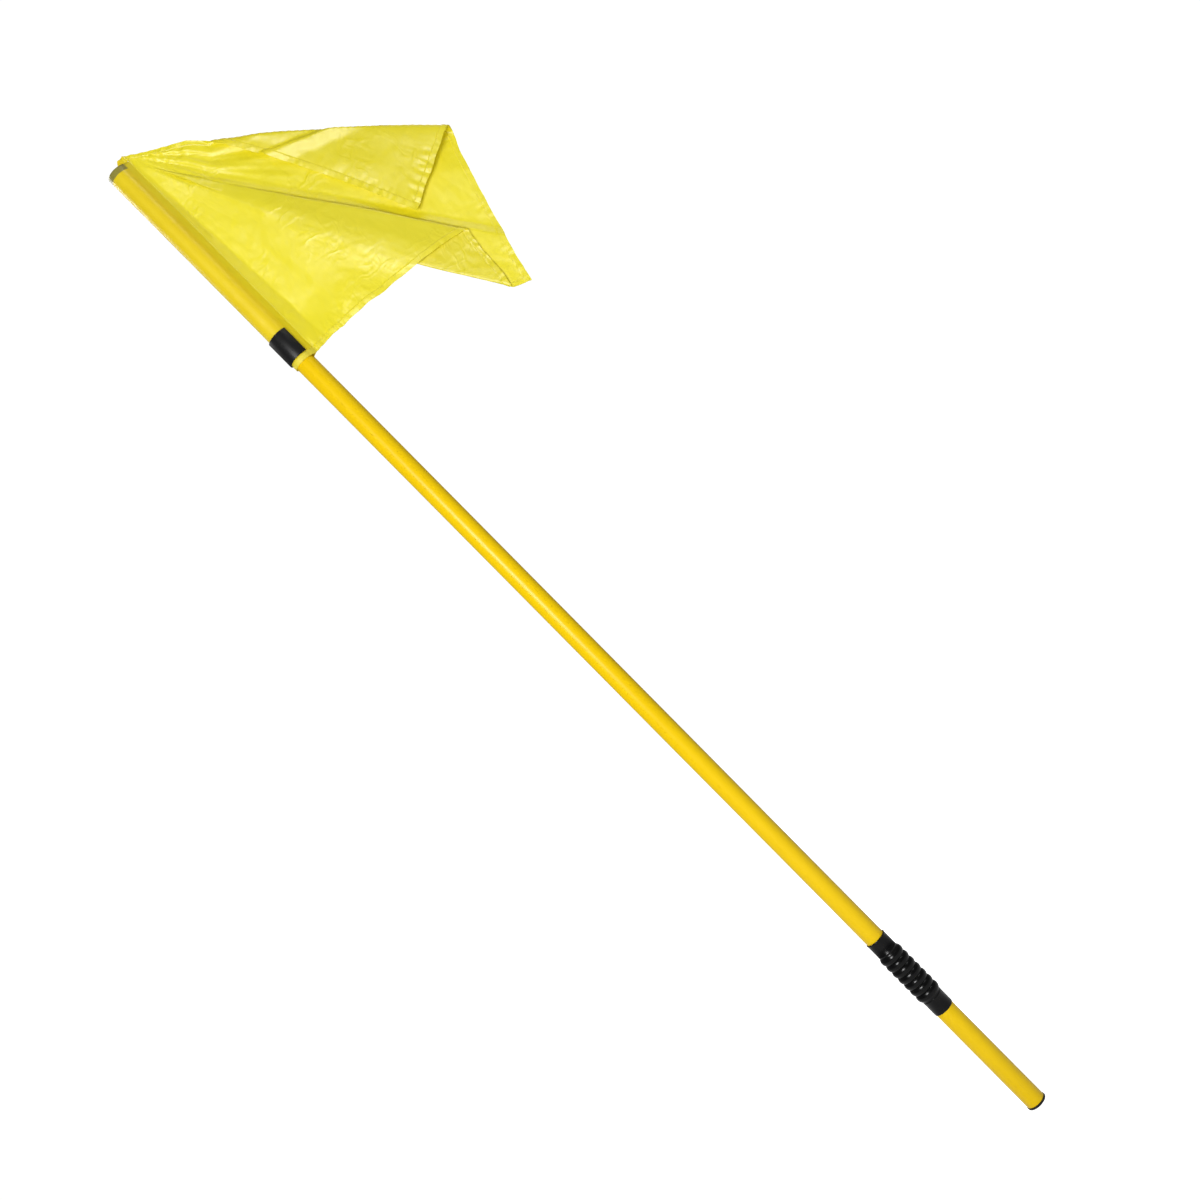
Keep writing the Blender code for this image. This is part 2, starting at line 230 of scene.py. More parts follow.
def marks(finish, scale, low, high, detail=3.0):
    """Scattered scuffs or scratches, from 0 to 1, whose length and width follow the scale along each axis."""
    return rise(finish, cloudy(finish, in_place(finish, scale), detail=detail), low, high)


def tint(finish, share, first, second):
    """One colour going over to another."""
    sockets = {0: share, 6: first, 7: second}
    return finish.node("ShaderNodeMix", {"data_type": "RGBA"}, sockets, output=2)


def relief(finish, height, depth):
    """Fine unevenness, depth metres deep, that catches the light."""
    sockets = {"Height": height, "Distance": depth, "Strength": 1.0}
    return finish.node("ShaderNodeBump", sockets=sockets)


def part_of(finish, where, axis):
    """One coordinate of a point as a number."""
    return finish.node("ShaderNodeSeparateXYZ", sockets={"Vector": where}, output=axis)


# %% [markdown]
# ## The hard finishes
#
# The tubes are extruded plastic, so they carry faint lines along their length where the die dragged, a
# slight orange peel, and the odd dull scuff from being carried and pushed into the ground. The plugs and
# the clip are moulded nylon. The clip keeps fine lengthwise lines, because it is cut from an extruded
# profile. All of these depend on nothing but the place on the object, so they need no unwrapping.


# %% Yellow extruded plastic
def yellow_plastic():
    finish = Finish("yellow_extruded_plastic")
    die_lines = cloudy(finish, in_place(finish, (900, 900, 4)), detail=2.0)
    patches = cloudy(finish, in_place(finish), size=0.11)
    peel = cloudy(finish, in_place(finish), size=0.0016, detail=1.0)
    scuffs = marks(finish, (260, 260, 46), 0.66, 0.74, detail=4.0)
    height = part_of(finish, in_place(finish), "Z")
    buried = rise(finish, height, 0.16, 0.10)
    grit = marks(finish, (700, 700, 90), 0.60, 0.70) * buried
    wear = finish.node("ShaderNodeMath", {"operation": "MAXIMUM"}, {0: scuffs * 0.5, 1: grit * 0.6})
    fresh = tint(finish, patches, (0.735, 0.480, 0.0, 1), (0.785, 0.530, 0.0, 1))
    color = tint(finish, wear * 0.45, fresh, (0.58, 0.38, 0.02, 1))
    rough = 0.27 + patches * 0.06 + wear * 0.25
    uneven = relief(finish, die_lines * 0.7 + peel * 0.5 - wear * 0.8, 0.00012)
    return finish.shade(Base_Color=color, Roughness=rough, Normal=uneven, Specular_IOR_Level=0.22)


# %% Black moulded plastic, for the plugs
def moulded_black():
    finish = Finish("black_moulded_plastic")
    texture = cloudy(finish, in_place(finish), size=0.0009, detail=2.0)
    patches = cloudy(finish, in_place(finish), size=0.007)
    scratches = marks(finish, (1500, 130, 130), 0.62, 0.70)
    shade = patches * 0.6 + scratches * 0.4
    color = tint(finish, shade, (0.004, 0.004, 0.0045, 1), (0.016, 0.016, 0.017, 1))
    rough = 0.42 + patches * 0.12 + scratches * 0.15
    uneven = relief(finish, texture - scratches, 0.00008)
    return finish.shade(Base_Color=color, Roughness=rough, Normal=uneven, Specular_IOR_Level=0.3)


# %% Black extruded plastic, for the clip
def clip_black():
    finish = Finish("black_clip_plastic")
    die_lines = cloudy(finish, in_place(finish, (1300, 1300, 14)), detail=3.0)
    patches = cloudy(finish, in_place(finish), size=0.012)
    rubbed = marks(finish, (500, 500, 120), 0.64, 0.72, detail=4.0)
    shade = die_lines * 0.5 + rubbed * 0.35
    color = tint(finish, shade, (0.0035, 0.0035, 0.004, 1), (0.012, 0.012, 0.0125, 1))
    rough = 0.36 + patches * 0.10 + rubbed * 0.15
    uneven = relief(finish, die_lines - rubbed, 0.00010)
    return finish.shade(Base_Color=color, Roughness=rough, Normal=uneven, Specular_IOR_Level=0.28)


# %% Glossy rubber, for the joint's cover
def glossy_rubber(groove_radius, crest_radius):
    finish = Finish("glossy_black_rubber")
    place = in_place(finish)
    flat_place = finish.node("ShaderNodeVectorMath", {"operation": "MULTIPLY"}, {0: place, 1: (1, 1, 0)})
    radius = finish.node("ShaderNodeVectorMath", {"operation": "LENGTH"}, {0: flat_place}, output="Value")
    in_groove = rise(finish, radius, (groove_radius + crest_radius) / 2, groove_radius)
    grain = cloudy(finish, place, size=0.0011, detail=2.0)
    bloom = cloudy(finish, place, size=0.016, detail=4.0)
    dust = rise(finish, bloom, 0.42, 0.72) * (0.35 + in_groove * 0.65)
    rubbed = marks(finish, (240, 240, 800), 0.65, 0.73)
    shade = dust * 0.55 + rubbed * 0.25
    color = tint(finish, shade, (0.0015, 0.0015, 0.0017, 1), (0.0060, 0.0057, 0.0054, 1))
    rough = 0.22 + dust * 0.08 + rubbed * 0.08
    uneven = relief(finish, grain * 0.4 + bloom - rubbed * 0.5, 0.00005)
    return finish.shade(Base_Color=color, Roughness=rough, Normal=uneven, Specular_IOR_Level=0.20)


# %% Spring steel and cast aluminium, for what the rubber hides
def spring_steel():
    finish = Finish("oiled_spring_steel")
    drawn = cloudy(finish, in_place(finish, (400, 400, 2600)), detail=3.0)
    oil = rise(finish, cloudy(finish, in_place(finish), size=0.006, detail=3.0), 0.45, 0.60)
    color = tint(finish, oil, (0.42, 0.43, 0.45, 1), (0.17, 0.15, 0.13, 1))
    rough = 0.30 + drawn * 0.15 - oil * 0.08
    uneven = relief(finish, drawn, 0.00006)
    return finish.shade(Base_Color=color, Roughness=rough, Metallic=1.0, Normal=uneven)


def turned_aluminium():
    finish = Finish("turned_aluminium")
    tool_marks = cloudy(finish, in_place(finish, (60, 60, 5200)), detail=2.0)
    dull = cloudy(finish, in_place(finish), size=0.009)
    color = tint(finish, dull, (0.60, 0.61, 0.62, 1), (0.74, 0.75, 0.76, 1))
    rough = 0.28 + dull * 0.16
    uneven = relief(finish, tool_marks, 0.00005)
    return finish.shade(Base_Color=color, Roughness=rough, Metallic=1.0, Normal=uneven)


# %% [markdown]
# ## The cloth's finish
#
# The flag is thin polyester satin. Up close it is a fine weave; from a step away it is a pale sheen broken
# by many small creases. The creases follow the cloth and not the room, so they are laid out on the flat cut
# and reach the folded cloth through its own map. Where the cloth lies tight on the pole, the golden tube
# shows through, and the black plug makes an olive band, so the sleeve gets the same weave over a deeper
# colour.


# %% Creases and weave
def satin_relief(finish):
    """The height of the weave and of the small creases."""
    weave = cloudy(finish, along_cloth(finish, 2600, 520), detail=1.0)
    drift = cloudy(finish, along_cloth(finish, 22, 22), detail=2.0)
    push = finish.node("ShaderNodeVectorMath", {"operation": "SCALE"}, {0: (1, 1, 0), "Scale": drift * 0.035})
    moved = finish.node("ShaderNodeVectorMath", {"operation": "ADD"}, {0: along_cloth(finish), 1: push})
    creases = 0.0
    for across, down, turn, share in ((14, 40, 0.9, 1.0), (40, 16, 0.5, 0.7), (20, 28, -0.6, 0.6)):
        sockets = {"Vector": moved, "Scale": (across, down, 1), "Rotation": (0, 0, turn)}
        field = cloudy(finish, finish.node("ShaderNodeMapping", sockets=sockets), detail=2.0)
        creases = rise(finish, (field - 0.5).size(), 0.10, 0.0) * share + creases
    here = rise(finish, cloudy(finish, along_cloth(finish, 11, 13), detail=2.0), 0.42, 0.66)
    soft = cloudy(finish, along_cloth(finish, 30, 22, turn=0.6), detail=2.0)
    return weave * 0.2 + (soft * 9.0 + creases * here * 1.3)


def satin(name, pale, deep):
    """Satin whose colour wanders between two tones, and the fields that its finish is built on."""
    finish = Finish(name)
    drift = cloudy(finish, along_cloth(finish), size=0.09, detail=4.0)
    height = satin_relief(finish)
    color = tint(finish, rise(finish, drift, 0.3, 0.7), pale, deep)
    return finish, color, height, drift


# %% Yellow satin, for the open cloth
SHEEN_TINT = (1.0, 0.98, 0.72, 1)
SEAM_STRIP_WIDTH = 0.0070  # painted shade: the strip beside the seam is tinted deeper, standing in for the valley's shade
SEAM_STRIP_SLANT = 0.058  # how much wider it gets down the hoist


def flag_satin():
    tones = (0.88, 0.81, 0.016, 1), (0.85, 0.775, 0.008, 1)
    finish, color, height, drift = satin("yellow_satin", *tones)
    flat = along_cloth(finish)
    from_seam = part_of(finish, flat, "X") - part_of(finish, flat, "Y") * SEAM_STRIP_SLANT
    painted_seam_shade = rise(finish, from_seam, SEAM_STRIP_WIDTH, SEAM_STRIP_WIDTH / 2)
    # Painted shade: the strip beside the seam is tinted darker, standing in for the shade of the valley there
    # and for the doubled cloth that lets less light through.
    color = tint(finish, painted_seam_shade * 0.8, color, (0.80, 0.72, 0.0, 1))
    uneven = relief(finish, height, 0.00026)
    finish.let_light_through(0.36, (0.95, 0.87, 0.02, 1), uneven)
    return finish.shade(
        Base_Color=color, Roughness=0.40 + drift * 0.12, Normal=uneven, IOR=1.6,
        Sheen_Weight=0.05, Sheen_Roughness=0.4, Sheen_Tint=SHEEN_TINT, Specular_IOR_Level=0.9)


# %% Satin over the pole, for the sleeve
def sleeve_satin(plug_low, plug_high, hem_top):
    """Satin that is golden on the tube, olive on the plug and paler beside the pole and in its hem."""
    tones = (0.90, 0.70, 0.008, 1), (0.86, 0.655, 0.004, 1)
    finish, color, height, drift = satin("yellow_satin_on_pole", *tones)
    place = in_place(finish)
    beside_pole = rise(finish, part_of(finish, place, "X"), 0.0125, 0.0155)
    level = part_of(finish, place, "Z")
    over_plug_foot = rise(finish, level, plug_low - 0.0006, plug_low + 0.0004)
    under_plug_face = rise(finish, level, plug_high + 0.0014, plug_high)
    on_plug = over_plug_foot * under_plug_face * (1 - beside_pole)
    in_hem = rise(finish, level, hem_top + 0.0004, hem_top - 0.0004)
    color = tint(finish, beside_pole * 0.6, color, (0.84, 0.735, 0.008, 1))
    color = tint(finish, in_hem * 0.7, color, (0.83, 0.735, 0.070, 1))
    color = tint(finish, on_plug * 0.92, color, (0.25, 0.235, 0.050, 1))
    uneven = relief(finish, height, 0.00012)
    finish.let_light_through(0.20, (0.90, 0.74, 0.01, 1), uneven)
    return finish.shade(
        Base_Color=color, Roughness=0.36 + drift * 0.12, Normal=uneven,
        Sheen_Weight=0.06, Sheen_Roughness=0.4, Sheen_Tint=SHEEN_TINT, Specular_IOR_Level=0.6)


def yellow_thread():
    finish = Finish("yellow_thread")
    twist = cloudy(finish, in_place(finish, (5200, 5200, 2100)), detail=1.0)
    color = tint(finish, twist, (0.74, 0.62, 0.03, 1), (0.88, 0.80, 0.16, 1))
    return finish.shade(Base_Color=color, Roughness=0.5 + twist * 0.15, Normal=relief(finish, twist, 0.00005))


# %% The floor's finish
def pale_floor():
    finish = Finish("pale_floor")
    seen = finish.node("ShaderNodeLightPath", output="Is Camera Ray")
    glow = tint(finish, seen, (0.05, 0.05, 0.05, 1), (0.97, 0.97, 0.97, 1))
    return finish.shade(
        Base_Color=(0.60, 0.60, 0.60, 1), Roughness=0.9, Emission_Color=glow, Emission_Strength=1.0)


# %% Lay the floor
FLOOR_RADIUS = 60.0
FLOOR_LEVEL = -0.0005  # just under the foot, so that the two faces don't share a place

place = (0, 0, FLOOR_LEVEL)
bpy.ops.mesh.primitive_circle_add(vertices=64, radius=FLOOR_RADIUS, fill_type="NGON", location=place)
floor = bpy.context.object
floor.name = "studio_floor"
floor.data.materials.append(pale_floor())
print("floor radius:", FLOOR_RADIUS)

# %% [markdown]
# ## Modelling helpers
#
# Each hard piece is made the way it would be made by hand: a primitive, then Edit Mode operators, then
# modifiers. An operator works on everything that is selected, so these helpers select one piece, and then
# the edges or faces that lie in a given place.


# %% Select, edit and finish
SAME_PLACE = 1e-6


def take(piece):
    """Makes one piece the only selected and active one."""
    bpy.ops.object.select_all(action="DESELECT")
    piece.select_set(True)
    bpy.context.view_layer.objects.active = piece


def edit(kind="FACE"):
    """Opens Edit Mode on the active piece with nothing selected."""
    bpy.ops.object.mode_set(mode="EDIT")
    bpy.ops.mesh.select_mode(type=kind)
    bpy.ops.mesh.select_all(action="DESELECT")


def choose(kind, test):
    """Selects the verts, edges or faces whose points all pass a test, and says how many."""
    mesh = bmesh.from_edit_mesh(bpy.context.object.data)
    count = 0
    for element in getattr(mesh, kind):
        points = [element.co] if kind == "verts" else [v.co for v in element.verts]
        if all(test(point) for point in points):
            element.select_set(True)
            count += 1
    bmesh.update_edit_mesh(bpy.context.object.data)
    return count


def close_edit():
    """Merges doubles, turns all faces outwards and leaves Edit Mode."""
    bpy.ops.mesh.select_all(action="SELECT")
    bpy.ops.mesh.remove_doubles(threshold=SAME_PLACE)
    bpy.ops.mesh.normals_make_consistent(inside=False)
    bpy.ops.object.mode_set(mode="OBJECT")


def finish_piece(piece, name, material, smooth_to=35.0):
    """Puts the piece's place into its mesh, smooths it and gives it its name and finish."""
    take(piece)
    bpy.ops.object.transform_apply(location=True, rotation=True, scale=True)
    bpy.ops.object.shade_smooth_by_angle(angle=math.radians(smooth_to))
    piece.name = name
    piece.data.name = name
    piece.data.materials.clear()
    piece.data.materials.append(material)
    print(name, "has", len(piece.data.polygons), "faces")


# %% Draw an outline point by point
def drawn_outline(points):
    """A new piece that is one closed line through the points, open in Edit Mode and all selected."""
    bpy.ops.mesh.primitive_plane_add(size=0.001)
    edit("VERT")
    bpy.ops.mesh.select_all(action="SELECT")
    bpy.ops.mesh.merge(type="CENTER")
    here = Vector(points[0])
    bpy.ops.transform.translate(value=here)
    for point in list(points[1:]) + [points[0]]:
        step = Vector(point) - here
        bpy.ops.mesh.extrude_vertices_move(TRANSFORM_OT_translate={"value": step})
        here = Vector(point)
    bpy.ops.mesh.select_all(action="SELECT")
    bpy.ops.mesh.remove_doubles(threshold=SAME_PLACE)
    bpy.ops.mesh.select_all(action="SELECT")
    return bpy.context.object


def spun(outline, steps=96):
    """A closed outline of (radius, height) points, turned round the pole's axis."""
    piece = drawn_outline([(radius, 0.0, height) for radius, height in outline])
    bpy.ops.mesh.spin(steps=steps, angle=math.tau, center=(0, 0, 0), axis=(0, 0, 1))
    close_edit()
    return piece


# %% [markdown]
# ## The tubes
#
# A tube could be a cylinder with a Solidify modifier, but insetting its two end faces and bridging them
# gives the bore directly, as a drill would. The frame's own tubes have visible flats, so finer ones stand
# for them.


# %% A hollow tube with broken edges
TUBE_WALL = 0.0018
TUBE_EDGE = 0.0004


def hollow_tube(node, body, material):
    """A finer tube in the place of one of the frame's."""
    low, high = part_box(node)
    radius = high[0]
    depth = high[2] - low[2]
    middle = (0, 0, (low[2] + high[2]) / 2)
    bpy.ops.mesh.primitive_cylinder_add(vertices=128, radius=radius, depth=depth, location=middle)
    tube = bpy.context.object
    bpy.ops.object.transform_apply(location=True)
    edit("FACE")
    for end in (low[2], high[2]):
        choose("faces", lambda p: abs(p.z - end) < SAME_PLACE)
    bpy.ops.mesh.inset(thickness=TUBE_WALL)
    bpy.ops.mesh.bridge_edge_loops()
    bpy.ops.mesh.select_mode(type="EDGE")
    bpy.ops.mesh.select_all(action="DESELECT")
    for end in (low[2], high[2]):
        choose("edges", lambda p: abs(p.z - end) < SAME_PLACE and math.hypot(p.x, p.y) > radius - 1e-5)
    bpy.ops.mesh.bevel(offset=TUBE_EDGE, segments=3)
    close_edit()
    finish_piece(tube, node + "_finished", material)
    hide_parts(node)
    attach(tube, body)


yellow = yellow_plastic()
hollow_tube("pole_tube", "pole", yellow)
hollow_tube("ground_tube", "ground", yellow)

# %% [markdown]
# ## The end plugs
#
# Each plug is a moulded cap: a flange with a rounded edge that covers the tube's end, and a ribbed spigot
# pushed into the bore. Spinning half of its section gives the whole shape in one go. The foot keeps the
# moulded dimple where the plastic was let in.


# %% Spin the plugs
PLUG_ROUND = 0.0012
SPIGOT_GAP = 0.0003
SPIGOT_WALL = 0.0018
SPIGOT_TAPER = 0.001
PLUG_FLOOR = 0.001  # the solid plastic behind the flange
FLANGE_EDGE = 0.0003
DIMPLE_RADIUS = 0.0032
DIMPLE_SLOPE = 0.0008
DIMPLE_DEPTH = 0.0004


def corner(centre, radius, start, end, steps=8):
    """Points along an arc, from one angle to another in degrees."""
    turns = [math.radians(start + (end - start) * i / steps) for i in range(steps + 1)]
    return [(centre[0] + radius * math.cos(a), centre[1] + radius * math.sin(a)) for a in turns]


def plug_outline(flange_radius, bore, thickness, length):
    """The plug's half section with its face at height 0 and its spigot pointing up."""
    spigot = bore - SPIGOT_GAP
    cavity = spigot - SPIGOT_WALL
    outline = [(0.0, DIMPLE_DEPTH), (DIMPLE_RADIUS - DIMPLE_SLOPE, DIMPLE_DEPTH), (DIMPLE_RADIUS, 0.0)]
    outline += corner((flange_radius - PLUG_ROUND, PLUG_ROUND), PLUG_ROUND, -90, 0)
    outline += [(flange_radius, thickness - FLANGE_EDGE), (flange_radius - FLANGE_EDGE, thickness)]
    outline += [(spigot, thickness), (spigot, length - SPIGOT_TAPER), (spigot - SPIGOT_TAPER, length)]
    outline += [(cavity, length), (cavity, thickness + PLUG_FLOOR), (0.0, thickness + PLUG_FLOOR)]
    return outline


def end_plug(node, body, tube_node, material):
    """A moulded plug in the place of one of the frame's, turned to face out of its tube."""
    low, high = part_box(node)
    tube_low, tube_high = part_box(tube_node)
    points_up = low[2] < tube_low[2]
    bore = tube_high[0] - TUBE_WALL
    gap = tube_low[2] - low[2] if points_up else high[2] - tube_high[2]
    outline = plug_outline(high[0], bore, gap - SPIGOT_GAP, high[2] - low[2])
    face, way = (low[2], 1) if points_up else (high[2], -1)
    plug = spun([(radius, face + way * height) for radius, height in outline])
    finish_piece(plug, node + "_finished", material)
    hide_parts(node)
    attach(plug, body)


black_plug = moulded_black()
end_plug("ground_end_plug", "ground", "ground_tube", black_plug)
end_plug("top_end_plug", "pole", "pole_tube", black_plug)

# %% [markdown]
# ## The rubber joint
#
# The cover is one rubber moulding: a plain cuff round each tube and seven soft ribs between them. It bends
# in two steps, one in each half, so it is spun as two halves that meet on the middle rib's crest. A narrow
# level band on the crest keeps the two halves' shading the same where they meet.

# %% The cover's measures
BOOT_RIBS = 7
BOOT_CUFF_LENGTH = 0.0253
BOOT_BORE = 0.0141
BOOT_CUFF = 0.0148
BOOT_GROOVE = 0.0153
RIM_BEAD = [(0.0, 0.0001), (0.0003, 0.0005), (0.0003, 0.0015), (0.0, 0.0020)]  # out and up, from the mouth
MOUTH_EDGE = 0.0003
CUFF_ROUND = 0.0005  # the plain cuff's rounded mouth, and the height of its centre
CUFF_ROUND_PLACE = 0.0009
RIB_FOOT = (0.0001, 0.0009)  # out from the cuff, and how far below the first rib
RING_PLACE = 0.0035  # a faint ring goes round each cuff this far before the ribs
RING = [(0.0, -0.0006), (0.00022, -0.0003), (0.00022, 0.0004), (0.0, 0.0008), (0.0, 0.0014)]
RIB_FULLNESS = 0.75  # below 1, the ribs are rounder than a plain wave
CREST_BAND = 0.00008
POINTS_PER_RIB = 14
BORE_STEPS = 20

boot_low, boot_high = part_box("rubber_boot")
boot_bottom, boot_top = boot_low[2], boot_high[2]
boot_middle = (boot_bottom + boot_top) / 2
boot_crest = boot_high[0]
rib_pitch = (boot_top - boot_bottom - 2 * BOOT_CUFF_LENGTH) / BOOT_RIBS
print("rib pitch:", round(rib_pitch, 5), "crest radius:", round(boot_crest, 5))


# %% One half's outline
def rib_radius(height):
    """The ribs' outer radius at a height above a cuff's mouth."""
    share = (height - BOOT_CUFF_LENGTH) / rib_pitch
    wave = abs(math.sin(math.pi * share))
    return BOOT_GROOVE + (boot_crest - BOOT_GROOVE) * wave ** RIB_FULLNESS


def boot_half_outline(with_bead):
    """Up the outer wall from the cuff's mouth to the middle rib's crest, then down the bore."""
    half = (boot_top - boot_bottom) / 2
    ring = BOOT_CUFF_LENGTH - RING_PLACE
    outline = [(BOOT_BORE, 0.0), (BOOT_BORE + MOUTH_EDGE, 0.0)]
    if with_bead:
        outline += [(BOOT_CUFF + out, up) for out, up in RIM_BEAD]
    else:
        outline += corner((BOOT_CUFF - CUFF_ROUND, CUFF_ROUND_PLACE), CUFF_ROUND, -60, 0, steps=4)
    outline += [(BOOT_CUFF + out, ring + up) for out, up in RING]
    outline.append((BOOT_CUFF + RIB_FOOT[0], BOOT_CUFF_LENGTH - RIB_FOOT[1]))
    steps = int(POINTS_PER_RIB * BOOT_RIBS / 2)
    for i in range(1, steps):
        height = BOOT_CUFF_LENGTH + (half - BOOT_CUFF_LENGTH) * i / steps
        outline.append((rib_radius(height), height))
    outline += [(boot_crest, half - CREST_BAND), (boot_crest, half)]
    outline += [(BOOT_BORE, half * (1 - i / BORE_STEPS)) for i in range(BORE_STEPS)]
    return outline


# %% Spin both halves
rubber = glossy_rubber(BOOT_GROOVE, boot_crest)
hinges = {joint["name"]: joint["pos_m"] for joint in frame["joints"] if "pos_m" in joint}
lower_hinge = hinges["bend_front_back"][2]
upper_hinge = hinges["bend_sideways"][2]
BLEND_MARGIN = 0.0006  # the stretch round each hinge ends this far short of the cover's middle
bend_reach = boot_middle - lower_hinge - BLEND_MARGIN


def bend_across(piece, hinge):
    """Puts the piece's place into its mesh; the stretch round the hinge is worked out but nothing bends over
    it.
    """
    start = (0, 0, hinge - bend_reach)
    end = (0, 0, hinge + bend_reach)
    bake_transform(piece)


def boot_half(name, mouth, way, with_bead, hinge):
    """One half of the cover, from its cuff's mouth to the middle rib."""
    half = spun([(radius, mouth + way * height) for radius, height in boot_half_outline(with_bead)])
    finish_piece(half, name, rubber, smooth_to=50.0)
    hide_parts("rubber_boot")
    bend_across(half, hinge)


boot_half("rubber_boot_lower", boot_bottom, 1, False, lower_hinge)
boot_half("rubber_boot_upper", boot_top, -1, True, upper_hinge)

# %% [markdown]
# ## The spring inside the joint
#
# A close-wound spring brings the pole upright again. The Screw modifier winds a ring of wire up the axis.
# It is wound in two lengths that meet where the cover's halves do.

# %% Wind the spring
SPRING_WIRE = 0.0045
SPRING_WIRE_SIDES = 12
SPRING_STEPS_PER_TURN = 40
SPRING_PITCH = 0.0049


def wound(name, bottom, top, coil_radius, hinge, material):
    """A length of spring from one height to another."""
    turns = round((top - bottom) / SPRING_PITCH)
    bpy.ops.mesh.primitive_circle_add(
        vertices=SPRING_WIRE_SIDES, radius=SPRING_WIRE / 2, location=(coil_radius, 0, bottom),
        rotation=(math.pi / 2, 0, 0))
    spring = bpy.context.object
    bpy.ops.object.transform_apply(location=True, rotation=True)
    winding = spring.modifiers.new("winding", "SCREW")
    winding.axis = "Z"
    winding.iterations = turns
    winding.screw_offset = (top - bottom) / turns
    winding.steps = SPRING_STEPS_PER_TURN
    winding.render_steps = SPRING_STEPS_PER_TURN
    bpy.ops.object.modifier_apply(modifier=winding.name)
    edit("EDGE")
    bpy.ops.mesh.select_non_manifold()
    bpy.ops.mesh.edge_face_add()
    close_edit()
    finish_piece(spring, name, material)
    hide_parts("joint_spring")
    bend_across(spring, hinge)


steel = spring_steel()
spring_low, spring_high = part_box("joint_spring")
coil = spring_high[0] - SPRING_WIRE / 2
wire_bottom = spring_low[2] + SPRING_WIRE / 2
wire_top = spring_high[2] - SPRING_WIRE / 2
wound("spring_lower", wire_bottom, boot_middle, coil, lower_hinge, steel)
wound("spring_upper", boot_middle, wire_top, coil, upper_hinge, steel)

# %% [markdown]
# The two spring anchors are turned plugs that nothing shows once the joint is closed, so the frame's own
# shapes stay and only get a better finish.

# %% Finish the anchors
aluminium = turned_aluminium()
for node in ("lower_spring_anchor", "upper_spring_anchor"):
    anchor = frame["nodes"][node]
    anchor.data.materials.clear()
    anchor.data.materials.append(aluminium)
print("anchors finished")

# %% [markdown]
# ## The snap clip
#
# The clip is a length of C-shaped plastic profile that snaps over the sleeve and grips cloth and pole
# together. Its section is drawn once, with a round bead on each lip, filled, extruded to the clip's length,
# and its edges are bevelled.

# %% The clip's section
CLIP_BORE = 0.0157
CLIP_LIP_ANGLE = 44.2
CLIP_EDGE = 0.0005


def clip_section(outer):
    """The C from lip to lip and back along its inside."""
    wall = outer - CLIP_BORE
    middle = CLIP_BORE + wall / 2
    bead = wall / 2
    lip = (middle * math.cos(math.radians(CLIP_LIP_ANGLE)), middle * math.sin(math.radians(CLIP_LIP_ANGLE)))
    outline = corner((0, 0), outer, CLIP_LIP_ANGLE, 360 - CLIP_LIP_ANGLE, steps=88)
    outline += corner((lip[0], -lip[1]), bead, -CLIP_LIP_ANGLE, 180 - CLIP_LIP_ANGLE, steps=8)[1:-1]
    outline += corner((0, 0), CLIP_BORE, 360 - CLIP_LIP_ANGLE, CLIP_LIP_ANGLE, steps=88)
    outline += corner(lip, bead, 180 + CLIP_LIP_ANGLE, 360 + CLIP_LIP_ANGLE, steps=8)[1:-1]
    return outline


# %% Extrude the clip
clip_low, clip_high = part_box("flag_clip")
section = clip_section(-clip_low[0])
clip = drawn_outline([(x, y, clip_low[2]) for x, y in section])
bpy.ops.mesh.edge_face_add()
bpy.ops.mesh.extrude_region_move(TRANSFORM_OT_translate={"value": (0, 0, clip_high[2] - clip_low[2])})
bpy.ops.mesh.select_mode(type="EDGE")
bpy.ops.mesh.select_all(action="DESELECT")
for end in (clip_low[2], clip_high[2]):
    choose("edges", lambda p: abs(p.z - end) < SAME_PLACE)
bpy.ops.mesh.bevel(offset=CLIP_EDGE, segments=3)
close_edit()
finish_piece(clip, "snap_clip", clip_black())
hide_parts("flag_clip")
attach(clip, "clip")

# %% [markdown]
# ## How the cloth folds
#
# The flag is one square of satin sewn along the pole. It hangs in a Z: a front layer, a narrow layer going
# back behind it, and a back layer whose top corner has flopped forward like a dog's ear. All these folds
# run through the corner at the pole's top, so a point of the flat cloth is given by its distance and its
# angle from that corner. Folding changes the angle and leaves the distance almost alone: it grows by three
# hundredths at most, where the layers behind swing out. That keeps the cloth's true size, which a shape
# pushed about by eye would not.

# %% The flat cloth and its folds
FLY = 0.403
HEM = 0.0085
HEADING = 0.0095  # how far the top hem stands above the pole
FRONT_FOLD_CUT = math.radians(38.75)  # each fold's angle on the flat cut, then as it hangs
FRONT_FOLD_HUNG = math.radians(33.6)
BACK_FOLD_CUT = math.radians(46.4)
BACK_FOLD_HUNG = math.radians(27.0)
EAR_START = 0.109  # where the ear's crease meets the top edge, from the corner
EAR_END = 0.122  # where it meets the free edge, from the top
FOLD_GAP = 0.0050  # between two layers that lie on each other
EAR_GAP = 0.0052
STRETCH = 0.030  # how much further out the layers behind hang
EAR_STRETCH = 0.45  # how much of that the ear's side gives back
FOLD_DROP = 0.0072  # how far the front fold passes below the corner
LONGEST_FOLD = 0.46  # the front fold's length, and the back one's
BACK_FOLD_LENGTH = 0.536
BACK_SAG = math.radians(14.5)  # how much lower the back fold hangs, a metre nearer the corner
BACK_SAG_REACH = 0.16  # and over what length it does so
VALLEY = 0.0095  # how far the front layer dips behind the seam
HEM_BULGE = 0.0045  # how far the two free hems curve outwards, as a share of their reach
RIDGE = 0.0035  # a soft rise of the front layer beside its fold
FOLD_BEND = 0.0050  # how far the back layer drops away beyond the front fold
EAR_LEAN = 0.09  # how steeply the ear stands off towards its tip
TUCK_START = np.array([0.139, 1.590])  # a small tuck across the ear, as x and z
TUCK_END = np.array([0.2366, 1.5465])
TUCK_RISE = 0.0058
